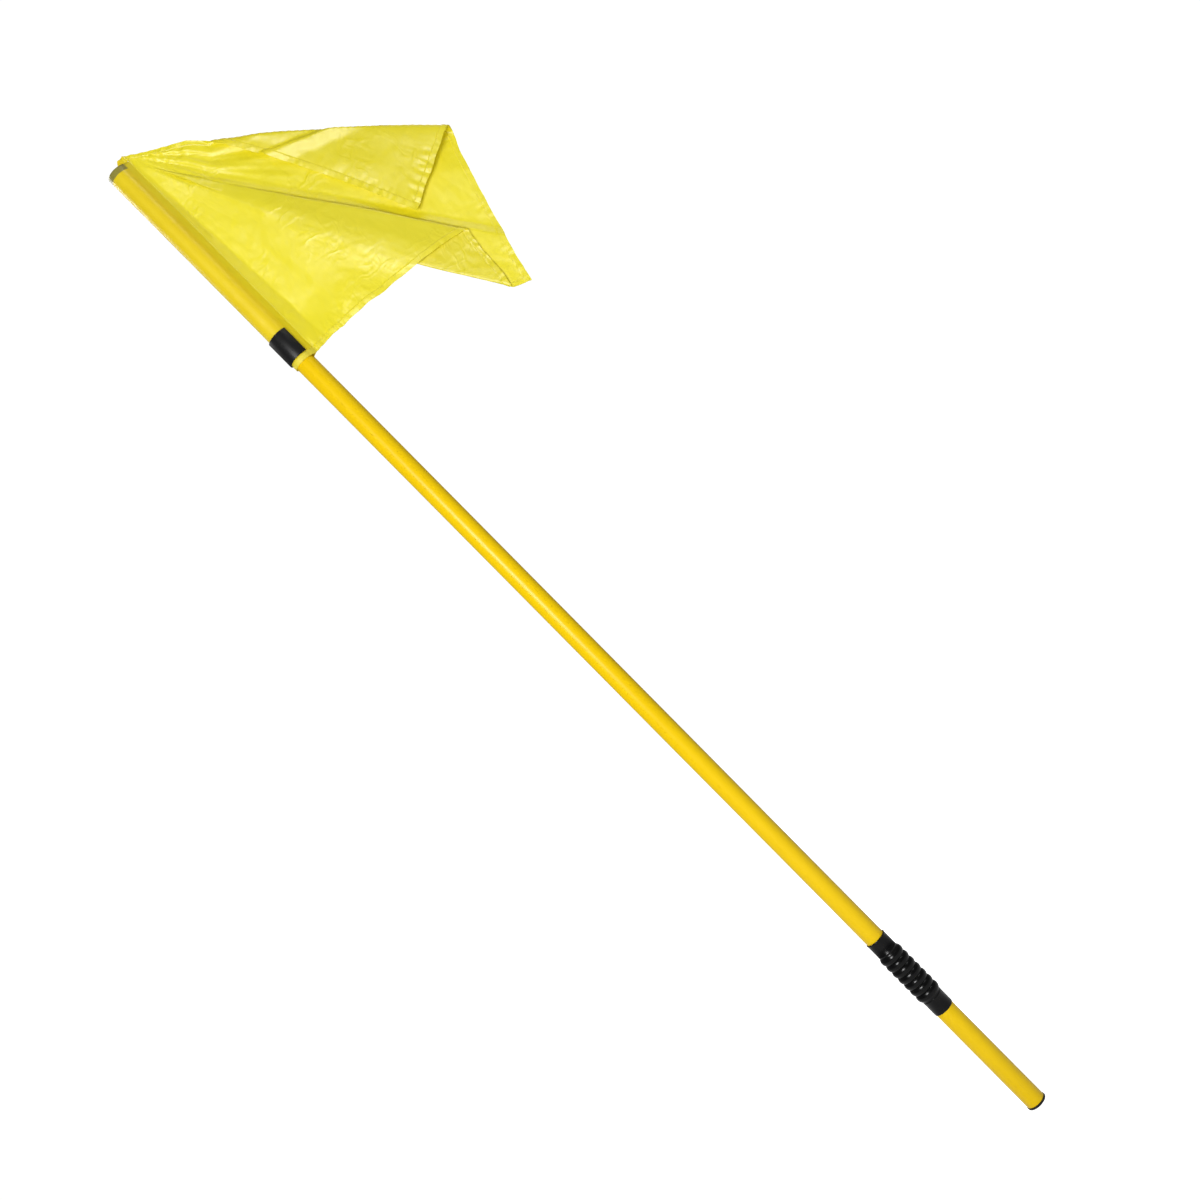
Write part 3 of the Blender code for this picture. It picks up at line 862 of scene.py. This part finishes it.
# How far round the cloth's upper outline hangs from straight down, by its distance from the corner.
UPPER_OUTLINE = [(0.0, 57.0), (0.042, 58.5), (0.082, 60.0), (0.112, 55.5), (0.18, 54.9), (0.27, 53.4)]
UPPER_OUTLINE += [(0.428, 50.2)]

sleeve_low, sleeve_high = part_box("flag_sleeve")
seam_x = sleeve_high[0]
cloth_top = sleeve_high[2] + HEADING
HOIST = cloth_top - sleeve_low[2]
ear_line = np.array([FLY - EAR_START, EAR_END]) / math.hypot(FLY - EAR_START, EAR_END)
ear_side = np.array([ear_line[1], -ear_line[0]])
DROP_AT_HEM = math.asin(FOLD_DROP / LONGEST_FOLD)
EAR_CORNER = math.atan2(FLY, EAR_END)
print("seam at x =", round(seam_x, 4), "top at z =", round(cloth_top, 4))


# %% Small curves for rounded folds
def soft_ramp(x, softness):
    """0 left of a fold and x right of it, rounded at the fold."""
    return (x + np.sqrt(x * x + softness * softness)) / 2


def soft_step(x, softness):
    """0 left of a fold and 1 right of it, over a width of about softness."""
    return 0.5 + 0.5 * x / np.sqrt(x * x + softness * softness)


def smooth(x, low, high):
    t = np.clip((x - low) / (high - low), 0.0, 1.0)
    return t * t * (3 - 2 * t)


def bump(x, middle, width):
    return np.exp(-(((x - middle) / width) ** 2))


# %% Fold the ear over
EAR_ROUND = 0.35  # how round its fold is, as a share of the gap
EAR_THIN = 0.35  # its gap where it begins, as a share of the full one
EAR_GROWTH = 0.12  # the length over which the gap grows
EAR_SETS_IN = (EAR_START * 0.55, EAR_START * 1.05)


def fold_ear(s, t):
    """Turns what lies past the ear's crease back over it, and says how far past it each point was."""
    beyond = (s - EAR_START) * ear_side[0] + t * ear_side[1]
    size = EAR_THIN + (1 - EAR_THIN) * smooth(s, EAR_START, EAR_START + EAR_GROWTH)
    reached = smooth(s, *EAR_SETS_IN)
    turned = (beyond + np.sqrt(beyond * beyond + (EAR_GAP * EAR_ROUND * size) ** 2)) * reached
    return s - turned * ear_side[0], t - turned * ear_side[1], beyond, size, reached


def outline_angle(reach):
    """The angle on the flat cut at which the folded cloth's upper outline lies, by distance."""
    start_along = EAR_START * ear_line[0]
    out = np.sqrt(np.maximum(start_along ** 2 - EAR_START ** 2 + reach ** 2, 0.0)) - start_along
    crease = np.arctan2(EAR_START + out * ear_line[0], np.maximum(out * ear_line[1], 0.0))
    return np.where(reach < EAR_START, math.pi / 2, np.maximum(crease, EAR_CORNER))


# %% Turn each layer to where it hangs
THINNEST_GAP = 0.12  # the share of the gap that is left at the corner
BACK_DROP = 0.8  # the back fold passes below the corner too, by this share of the front one's drop
STEEPEST_DROP = 0.45
FOLD_ROUND = 0.35  # how round a fold is, as a share of the gap
BLUNTEST_FOLD = math.radians(2.0)


def turn_layers(reach, angle, gap):
    """The hanging angle of each point, and both folds' and the outline's angles at its distance."""
    drop = np.arcsin(np.minimum(FOLD_DROP / reach, STEEPEST_DROP))
    front_cut = FRONT_FOLD_CUT + DROP_AT_HEM - drop
    front_hung = FRONT_FOLD_HUNG + DROP_AT_HEM - drop
    back_cut = BACK_FOLD_CUT + DROP_AT_HEM - drop * BACK_DROP
    back_hung = BACK_FOLD_HUNG - BACK_SAG * np.clip(BACK_FOLD_LENGTH - reach, 0.0, BACK_SAG_REACH)
    outline_cut = outline_angle(reach)
    outline_hung = np.radians(np.interp(reach, *zip(*UPPER_OUTLINE)))
    front_slope = front_hung / front_cut
    middle_slope = (front_hung - back_hung) / (back_cut - front_cut)
    back_slope = (outline_hung - back_hung) / (outline_cut - back_cut)
    softness = np.minimum(gap * FOLD_ROUND / reach, BLUNTEST_FOLD)
    hung = (front_slope * angle
            - (front_slope + middle_slope) * soft_ramp(angle - front_cut, softness)
            + (middle_slope + back_slope) * soft_ramp(angle - back_cut, softness))
    return hung, front_cut, front_hung, back_cut, outline_cut


def hung_distance(reach, angle):
    """The distance from the corner as the cloth hangs."""
    behind = smooth(angle, FRONT_FOLD_CUT, BACK_FOLD_CUT)
    toward_ear = smooth(angle, BACK_FOLD_CUT, EAR_CORNER)
    lower_hem = bump(angle, math.radians(25), math.radians(11))
    free_hem = bump(angle, math.radians(60), math.radians(9))
    return reach * (1 + STRETCH * behind * (1 - EAR_STRETCH * toward_ear)
                    + HEM_BULGE * lower_hem + HEM_BULGE * free_hem)


# %% Stand the ear off, with its tuck
TUCK_EDGE = 0.0014  # how sharp the tuck is
TUCK_WIDTH = 0.022
TUCK_SLOPE = 0.22  # the other side of the tuck slopes up to TUCK_SHELF
TUCK_SHELF = 0.0055
TUCK_FADE = (-0.060, -0.020)
EAR_CREASE_GAP = 0.3  # the share of the gap at the ear's very crease


def ear_depth(x, z, size):
    """How far the ear stands in front of the layer under it, and how far it leans off besides."""
    along = TUCK_END - TUCK_START
    along /= np.linalg.norm(along)
    past = (x - TUCK_START[0]) * along[1] - (z - TUCK_START[1]) * along[0]
    tuck = TUCK_RISE * soft_step(past, TUCK_EDGE) * smooth(past, TUCK_WIDTH, 0.0)
    tuck = tuck + np.clip(-past * TUCK_SLOPE, 0.0, TUCK_SHELF) * smooth(past, *TUCK_FADE)
    standing = EAR_GAP * (EAR_CREASE_GAP + (1 - EAR_CREASE_GAP) * size) + tuck
    return standing, EAR_LEAN * np.maximum(x - TUCK_START[0], 0.0)


# %% From the flat cloth to the hanging one
VALLEY_NEAR = 0.003  # the valley's deepest line starts this far from the seam
VALLEY_SPREAD = 0.055  # and moves away from it by this share of the distance
VALLEY_WIDTH = 0.075
VALLEY_SETS_IN = (0.02, 0.12)  # the distances from the corner where it starts and ends
VALLEY_ENDS = (0.365, 0.30)
RIDGE_SETS_IN = (0.06, 0.22)
FULL_GAP_REACH = 0.24
FRONT_COMES_OUT = (0.018, 0.085)  # the front layer comes forward over this stretch from the seam
BEND_WIDTH = 0.010
BACK_LEAN = 0.35  # how far the back layer leans forward towards its outline, as a share of the gap


def hang(s, t):
    """Places points that lie s along the fly and t down the hoist from the top corner at the pole."""
    s_fold, t_fold, beyond, ear_size, reached = fold_ear(s, t)
    reach = np.hypot(s_fold, t_fold) + 1e-9
    angle = np.arctan2(s_fold, t_fold)
    grow = smooth(reach, 0.0, FULL_GAP_REACH)
    gap = FOLD_GAP * (THINNEST_GAP + (1 - THINNEST_GAP) * grow)
    hung, front_cut, front_hung, back_cut, outline_cut = turn_layers(reach, angle, gap)
    longer = hung_distance(reach, angle)
    x = seam_x + longer * np.sin(hung)
    z = cloth_top - longer * np.cos(hung)

    front = soft_step((angle - front_cut) * reach, gap * 0.5)
    back = soft_step((angle - back_cut) * reach, gap * 0.5)
    ear = soft_step(beyond, EAR_GAP * 0.45) * reached
    out = x - seam_x
    level = smooth(reach, *VALLEY_SETS_IN) * smooth(reach, *VALLEY_ENDS)
    crease = VALLEY_NEAR + VALLEY_SPREAD * reach
    valley = VALLEY * np.minimum(out / crease, 1.0) * smooth(out, crease + VALLEY_WIDTH, crease)
    valley = valley * level * (1 - front)
    ridge = RIDGE * bump(angle, math.radians(31), math.radians(5)) * smooth(reach, *RIDGE_SETS_IN)
    depth = valley - ridge - gap * smooth(out, *FRONT_COMES_OUT) + gap * front + gap * back
    above = np.clip((hung - front_hung) * reach / BEND_WIDTH, 0.0, 1.0)
    bent = FOLD_BEND * (above - 0.5) * grow - BACK_LEAN * gap * smooth(angle, back_cut, outline_cut)
    standing, leaning = ear_depth(x, z, ear_size)
    depth = depth + bent * back - standing * ear - leaning * ear
    return np.stack([x, depth, z], axis=-1)


print("free bottom corner hangs at", np.round(hang(np.array(FLY), np.array(HOIST)), 4))


# %% [markdown]
# ### Waves, creases and puckers
#
# Real cloth is never quite flat between its folds. Three kinds of unevenness are added in the flat cloth's
# own measure: broad waves that start at the pole, small sharp creases left from being packed, and the
# puckers that a tight seam pulls into every hem, which it also draws in a little.


# %% Unevenness of the cloth
def crease_field(s, t, seed):
    """Sharp creases of irregular length and direction, from 0 to about 1."""
    value = 0.0
    for size, share in ((0.070, 1.0), (0.034, 0.5)):
        where = Vector((s / size + seed, t / size - seed, seed * 1.7))
        value += share * (1 - min(1.0, abs(noise.noise(where)) * 3.2))
    return value / 1.8


def wave_field(s, t):
    """Broad waves that start at the pole's top corner."""
    reach = math.hypot(s, t)
    angle = math.atan2(s, t + 1e-9)
    where = Vector((angle * 5.0, reach * 7.0, 3.3))
    fan = noise.noise(Vector((angle * 17.0, reach * 6.0, 8.1)))
    fan *= min(1.0, reach / 0.06) * math.exp(-reach / 0.16)
    return noise.noise(where) + 0.4 * noise.noise(where * 2.3) + 0.9 * fan


def hem_distance(s, t):
    """How far a point lies from the nearest of the three hemmed edges."""
    return min(t, FLY - s, HOIST - t)


def along_hem(s, t):
    """How far a point lies along the hem that is nearest to it."""
    return s if hem_distance(s, t) in (t, HOIST - t) else t


def pucker_field(s, t):
    """Short ripples across the hems."""
    nearest, along = hem_distance(s, t), along_hem(s, t)
    where = Vector((along / 0.0066, nearest / 0.016, 9.1))
    strength = 0.55 + noise.noise(Vector((along / 0.055, 2.0, 4.4)))
    return noise.noise(where) * max(0.0, strength) * math.exp(-((nearest / 0.017) ** 2))


def edge_shift(s, t):
    """How far a sewn edge has drawn in, from 0 to about 1."""
    drawn = 0.5 + noise.noise(Vector((along_hem(s, t) / 0.024, 5.0, 1.2)))
    return max(0.0, drawn) * math.exp(-((hem_distance(s, t) / 0.015) ** 2))


# %% The cloth's mesh
CLOTH_COLUMNS = 108
CLOTH_ROWS = 96
WAVE_HEIGHT = 0.0030
CREASE_HEIGHT = 0.0004
CREASE_SEED = 4.2
PUCKER_HEIGHT = 0.0026
EDGE_SHIFT = 0.0016
CALM_BY_SEAM = 0.05  # the seam holds the cloth flat, and unevenness grows over this width
FREE_EDGE = (0.37, 0.40)  # only these two edges draw in, over these stretches of the cut
BOTTOM_EDGE = (0.33, 0.35)
HEM_LINES = 0.0003  # the hem's inner edge lies between two lines this far to each side
HEM_CLEAR = 0.0011  # and no other line comes this near it


def cut_lines(length, count, hems):
    """Evenly spaced lines across the cloth, with an extra pair at each hem's inner edge."""
    lines = set(round(x, 6) for x in np.linspace(0.0, length, count))
    for hem in hems:
        lines -= {x for x in lines if abs(x - hem) < HEM_CLEAR}
        lines |= {round(hem - HEM_LINES, 6), round(hem + HEM_LINES, 6)}
    return np.array(sorted(lines))


columns = cut_lines(FLY, CLOTH_COLUMNS, [FLY - HEM])
rows = cut_lines(HOIST, CLOTH_ROWS, [HEM, HOIST - HEM])
flat_s, flat_t = np.meshgrid(columns, rows, indexing="ij")


def field(function, *extra):
    """A value for every point of the cloth."""
    values = [function(s, t, *extra) for s, t in zip(flat_s.ravel(), flat_t.ravel())]
    return np.array(values).reshape(flat_s.shape)


drawn = EDGE_SHIFT * field(edge_shift)
shape = hang(flat_s - drawn * smooth(flat_s, *FREE_EDGE), flat_t - drawn * smooth(flat_t, *BOTTOM_EDGE))
waves = field(wave_field)
from_seam = smooth(flat_s, 0.0, CALM_BY_SEAM)
print("cloth points:", flat_s.size, "wave range:", round(float(np.ptp(waves)), 2))


# %% Normals of a grid of points
def grid_normals(points):
    across = np.gradient(points, axis=0)
    down = np.gradient(points, axis=1)
    normal = np.cross(down, across)
    return normal / (np.linalg.norm(normal, axis=-1, keepdims=True) + 1e-12)


# %% Turn points into a piece
def piece_from(name, points, faces):
    """A new piece from lists of points and faces."""
    mesh = bpy.data.meshes.new(name)
    mesh.from_pydata(points, [], faces)
    piece = bpy.data.objects.new(name, mesh)
    bpy.context.collection.objects.link(piece)
    return piece


def sheet_from(name, points, across, down):
    """A mesh over a grid of points, with the flat cut as its map."""
    count_a, count_b = points.shape[:2]
    number = np.arange(count_a * count_b).reshape(count_a, count_b)
    corners = [number[:-1, :-1], number[:-1, 1:], number[1:, 1:], number[1:, :-1]]
    faces = np.stack(corners, axis=-1).reshape(-1, 4)
    piece = piece_from(name, points.reshape(-1, 3).tolist(), faces.tolist())
    mesh = piece.data
    cut = mesh.uv_layers.new(name="cut")
    flat = np.stack([across, down], axis=-1).reshape(-1, 2)
    loops = np.empty(len(mesh.loops), dtype=np.int32)
    mesh.loops.foreach_get("vertex_index", loops)
    cut.data.foreach_set("uv", flat[loops].ravel().astype(np.float32))
    return piece


def thicken(piece, thickness, hem_group, thin_share):
    """Gives cloth its thickness at the hem, and a share of it everywhere else."""
    take(piece)
    wall = piece.modifiers.new("thickness", "SOLIDIFY")
    wall.thickness = thickness
    wall.offset = 0.0
    wall.vertex_group = hem_group
    wall.thickness_vertex_group = thin_share
    bpy.ops.object.modifier_apply(modifier=wall.name)


# %% [markdown]
# ### A finer grid
#
# The folds are cheap to work out on a coarse grid, but small puckers need a fine one. Each new point is
# therefore put on the smooth curve through its four neighbours, and only then are the creases and puckers
# raised on it.

# %% Refine the grid and raise the creases
def between(values):
    """The same curve through twice as many points along the first axis."""
    padded = np.concatenate([2 * values[:1] - values[1:2], values, 2 * values[-1:] - values[-2:-1]])
    middle = (9 * (padded[1:-2] + padded[2:-1]) - padded[:-3] - padded[3:]) / 16
    result = np.empty((2 * len(values) - 1,) + values.shape[1:])
    result[::2] = values
    result[1::2] = middle
    return result


def refined(grid):
    return between(between(grid).swapaxes(0, 1)).swapaxes(0, 1)


cloth_points = shape + grid_normals(shape) * (WAVE_HEIGHT * waves * from_seam)[..., None]
cloth_points = refined(cloth_points)
columns = np.sort(np.concatenate([columns, (columns[1:] + columns[:-1]) / 2]))
rows = np.sort(np.concatenate([rows, (rows[1:] + rows[:-1]) / 2]))
flat_s, flat_t = np.meshgrid(columns, rows, indexing="ij")
creases = CREASE_HEIGHT * field(crease_field, CREASE_SEED) * smooth(flat_s, 0.0, CALM_BY_SEAM)
raised = creases + PUCKER_HEIGHT * field(pucker_field)
cloth_points = cloth_points + grid_normals(cloth_points) * raised[..., None]
print("cloth depth:", np.round([cloth_points[..., 1].min(), cloth_points[..., 1].max()], 4))

# %% Make the flag
CLOTH_THICKNESS = 0.00030
HEM_THICKNESS = 0.0011

flag = sheet_from("satin_flag", cloth_points, flat_s, flat_t)
hems = flag.vertex_groups.new(name="hems")
in_hem = field(lambda s, t: float(hem_distance(s, t) < HEM)) > 0.5
hems.add([int(i) for i in np.flatnonzero(in_hem.ravel())], 1.0, "REPLACE")
thicken(flag, HEM_THICKNESS, "hems", CLOTH_THICKNESS / HEM_THICKNESS)
finish_piece(flag, "satin_flag", flag_satin(), smooth_to=80.0)
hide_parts("flag_panel")
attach(flag, "flag")

# %% [markdown]
# ## The sleeve
#
# The sleeve is a pocket sewn from the same cloth. It goes round the pole, runs straight to the seam beside
# it, and its top is sewn shut across the plug, with the hem standing up and bunching on the flag's side. It
# is made as rings of points, one above the other, and the last rings draw together into the top seam.

# %% The sleeve's rings
SLEEVE_RADIUS = 0.01495
SLEEVE_HEM = 0.0078
SLEEVE_POINTS = 120
SLEEVE_ROWS = 150
SLEEVE_HEM_ROWS = 6
WALL_END = 0.0005  # the cloth turns in over the plug this far below its face


def sleeve_ring(radius, tip):
    """Points round the pole from the seam's front side to its back side."""
    leave = math.acos(radius / tip)
    straight = math.sqrt(tip * tip - radius * radius)
    total = 2 * straight + radius * (math.tau - 2 * leave)
    touch_x, touch_y = radius * math.cos(leave), radius * math.sin(leave)
    points = []
    for i in range(SLEEVE_POINTS):
        way = total * i / SLEEVE_POINTS
        if straight <= way < total - straight:
            turn = -leave - (way - straight) / radius
            points.append((radius * math.cos(turn), radius * math.sin(turn)))
        else:
            side = -1 if way < straight else 1
            share = min(way, total - way) / straight
            points.append((tip + (touch_x - tip) * share, side * touch_y * share))
    return np.array(points), total


ring, ring_length = sleeve_ring(SLEEVE_RADIUS, seam_x)
sleeve_bottom = sleeve_low[2]
plug_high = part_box("top_end_plug")[1]
shoulder = plug_high[2] - WALL_END
print("cloth round the pole:", round(ring_length, 4))


# %% Shape the sleeve's wall
WALL_SLACK = 0.00035
WALL_RIPPLE = 0.0006  # on the straight sides, outwards and across
SIDE_RIPPLE = 0.0005
STRAIGHT_SIDES = (0.008, 0.0165)  # the x over which the cloth leaves the pole
SEAM_HOLDS = (0.0190, 0.0203)  # the x over which the seam takes all slack out


def sleeve_point(index, height):
    """A point of the sleeve's wall, with the slack a loose pocket has."""
    x, y = ring[index]
    reach = math.hypot(x, y)
    beside = smooth(x, *STRAIGHT_SIDES)
    slack = noise.noise(Vector((x * 130, y * 130, height * 14 + 5))) * 0.5 + 0.5
    ripple = noise.noise(Vector((x * 70, y * 70, height * 95)))
    out = (WALL_SLACK * slack + WALL_RIPPLE * beside * ripple) * (1 - smooth(x, *SEAM_HOLDS))
    x_out = x + x / reach * out * (1 - beside)
    return np.array([x_out, y + y / reach * out + SIDE_RIPPLE * beside * ripple, height])


wall_heights = list(np.linspace(sleeve_bottom, sleeve_bottom + SLEEVE_HEM - HEM_LINES, SLEEVE_HEM_ROWS))
wall_heights += list(np.linspace(sleeve_bottom + SLEEVE_HEM + HEM_LINES, shoulder, SLEEVE_ROWS))
sleeve_rows = []
for height in wall_heights:
    sleeve_rows.append([sleeve_point(i, height) for i in range(SLEEVE_POINTS)])
print("wall rings:", len(sleeve_rows))

# %% Close its top
TOP_RINGS = 14
CLOSING_RINGS = 0.55  # the share of the rings that turn in over the plug; as many stand up as the hem
CROWN = 0.0011  # how far the cloth rises over the plug
CLOSED_WIDTH = 0.03  # what is left of the width once it's shut
DRAWN_IN = 0.03  # how much shorter the shut top is along the flag
TOP_HEM = 0.0098
LOW_HEM = 0.0006
PLEAT_HEIGHT = 0.0004
PLEAT_DEPTH = 0.0003
HEM_SWAY = 0.0020
BUNCHED_SIDE = (0.002, 0.011)  # the x over which the hem bunches up


def top_point(x, y, closing, standing):
    """A point of the sewn top, by how far its ring has closed and stood up."""
    bunch = smooth(x, *BUNCHED_SIDE)
    pleat = noise.noise(Vector((x * 420, 1.0 if y > 0 else 4.0, standing * 1.5)))
    sway = noise.noise(Vector((x * 230, 7.0, standing)))
    width = math.cos(closing * math.pi / 2) * (1 - CLOSED_WIDTH) + CLOSED_WIDTH
    high = shoulder + CROWN * math.sin(closing * math.pi / 2)
    high += (LOW_HEM + TOP_HEM * bunch) * standing + PLEAT_HEIGHT * pleat * standing
    side = HEM_SWAY * sway * standing * bunch + PLEAT_DEPTH * pleat * closing
    return np.array([x * (1 - DRAWN_IN * closing), y * width + side, high])


for k in range(1, TOP_RINGS + 1):
    closing = min(1.0, k / (TOP_RINGS * CLOSING_RINGS))
    standing = max(0.0, (k - TOP_RINGS * (1 - CLOSING_RINGS)) / (TOP_RINGS * CLOSING_RINGS))
    sleeve_rows.append([top_point(x, y, closing, standing) for x, y in ring])
print("sleeve rings:", len(sleeve_rows))

# %% Make the sleeve
TOP_RING_CLOTH = 0.0012  # the cloth between two of the top rings
PLUG_BAND = 0.0085  # how much of the plug shows dark through the cloth
SLEEVE_HEM_THICKNESS = 0.0010
SLEEVE_THIN_SHARE = 0.4

sleeve_grid = np.array(sleeve_rows).transpose(1, 0, 2)
sleeve_grid = np.concatenate([sleeve_grid, sleeve_grid[:1]], axis=0)
around = np.linspace(0, ring_length, SLEEVE_POINTS + 1)
top_heights = [wall_heights[-1] + TOP_RING_CLOTH * k for k in range(1, TOP_RINGS + 1)]
upward = np.array(wall_heights + top_heights)
across, down = np.meshgrid(around, cloth_top - upward, indexing="ij")
sleeve = sheet_from("satin_sleeve", sleeve_grid, across, down)
take(sleeve)
edit("VERT")
close_edit()
sleeve_hem = sleeve.vertex_groups.new(name="hem")
hem_limit = sleeve_bottom + SLEEVE_HEM
sleeve_hem.add([v.index for v in sleeve.data.vertices if v.co.z < hem_limit], 1.0, "REPLACE")
thicken(sleeve, SLEEVE_HEM_THICKNESS, "hem", SLEEVE_THIN_SHARE)
sleeve_finish = sleeve_satin(plug_high[2] - PLUG_BAND, plug_high[2], hem_limit)
finish_piece(sleeve, "satin_sleeve", sleeve_finish, smooth_to=70.0)
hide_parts("flag_sleeve")
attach(sleeve, "flag")

# %% [markdown]
# ## The stitches
#
# One row of lockstitch runs along every hem, just inside its inner edge, and one along the seam. A stitch
# is modelled once, as a short thread with round ends, and set down again and again along the cloth, on both
# sides.

# %% One stitch
STITCH_LENGTH = 0.0026
STITCH_PITCH = 0.0033
THREAD = 0.00022  # its radius
LOOK_AHEAD = 0.001  # a stitch points to where the seam is this much further on

bpy.ops.mesh.primitive_uv_sphere_add(segments=6, ring_count=5, radius=THREAD)
stitch = bpy.context.object
edit("VERT")
choose("verts", lambda p: p.z > SAME_PLACE)
bpy.ops.transform.translate(value=(0, 0, STITCH_LENGTH / 2 - THREAD))
bpy.ops.mesh.select_all(action="DESELECT")
choose("verts", lambda p: p.z < -SAME_PLACE)
bpy.ops.transform.translate(value=(0, 0, THREAD - STITCH_LENGTH / 2))
bpy.ops.object.mode_set(mode="OBJECT")
stitch_points = np.array([v.co for v in stitch.data.vertices])
stitch_faces = [list(face.vertices) for face in stitch.data.polygons]
bpy.data.objects.remove(stitch)
print("one stitch has", len(stitch_faces), "faces")


# %% Set stitches along the cloth
def on_cloth(s, t, lift):
    """The place on the finished cloth over a point of the flat one, and the cloth's normal there."""
    i = np.clip(np.searchsorted(columns, s) - 1, 0, len(columns) - 2)
    j = np.clip(np.searchsorted(rows, t) - 1, 0, len(rows) - 2)
    u = (s - columns[i]) / (columns[i + 1] - columns[i])
    v = (t - rows[j]) / (rows[j + 1] - rows[j])
    a, b = cloth_points[i, j], cloth_points[i + 1, j]
    c, d = cloth_points[i, j + 1], cloth_points[i + 1, j + 1]
    normal = np.cross(c - a, b - a)
    normal /= np.linalg.norm(normal) + 1e-12
    return a * (1 - u) * (1 - v) + b * u * (1 - v) + c * (1 - u) * v + d * u * v + normal * lift, normal


def sewn(name, seams, lift, material):
    """All stitches along lines of the flat cloth, on both of its sides, as one piece."""
    points, faces = [], []
    for start, end in seams:
        start, end = np.array(start), np.array(end)
        count = int(np.linalg.norm(end - start) / STITCH_PITCH)
        way = (end - start) / np.linalg.norm(end - start)
        for k in range(count):
            here = start + way * STITCH_PITCH * (k + 0.5)
            for side in (-1, 1):
                place, normal = on_cloth(*here, lift * side)
                ahead, _ = on_cloth(*(here + way * LOOK_AHEAD), lift * side)
                along = (ahead - place) / np.linalg.norm(ahead - place)
                third = np.cross(normal, along)
                third /= np.linalg.norm(third)
                turn = np.stack([third, np.cross(along, third), along], axis=1)
                base = len(points)
                points += (stitch_points @ turn.T + place).tolist()
                faces += [[base + n for n in face] for face in stitch_faces]
    piece = piece_from(name, points, faces)
    finish_piece(piece, name, material, smooth_to=60.0)
    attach(piece, "flag")
    return piece


# %% Sew the hems
STITCH_INSET = 0.0014  # from the hem's inner edge
HEM_SEAM_START = 0.004
POCKET_SEAM = 0.0016  # from the sleeve's edge
POCKET_SEAM_END = 0.002
POCKET_LIFT = 0.0004
SUNK_SHARE = 0.3  # a stitch's middle stands this share of its radius off the cloth

thread = yellow_thread()
inner = HEM - STITCH_INSET
hem_seams = [
    ((HEM_SEAM_START, inner), (FLY - inner, inner)),
    ((FLY - inner, inner), (FLY - inner, HOIST - inner)),
    ((FLY - inner, HOIST - inner), (HEM_SEAM_START, HOIST - inner)),
]
pocket_seams = [((POCKET_SEAM, POCKET_SEAM_END), (POCKET_SEAM, HOIST - POCKET_SEAM_END))]
hem_stitches = sewn("hem_stitches", hem_seams, HEM_THICKNESS / 2 + THREAD * SUNK_SHARE, thread)
pocket_stitches = sewn("pocket_seam_stitches", pocket_seams, POCKET_LIFT, thread)
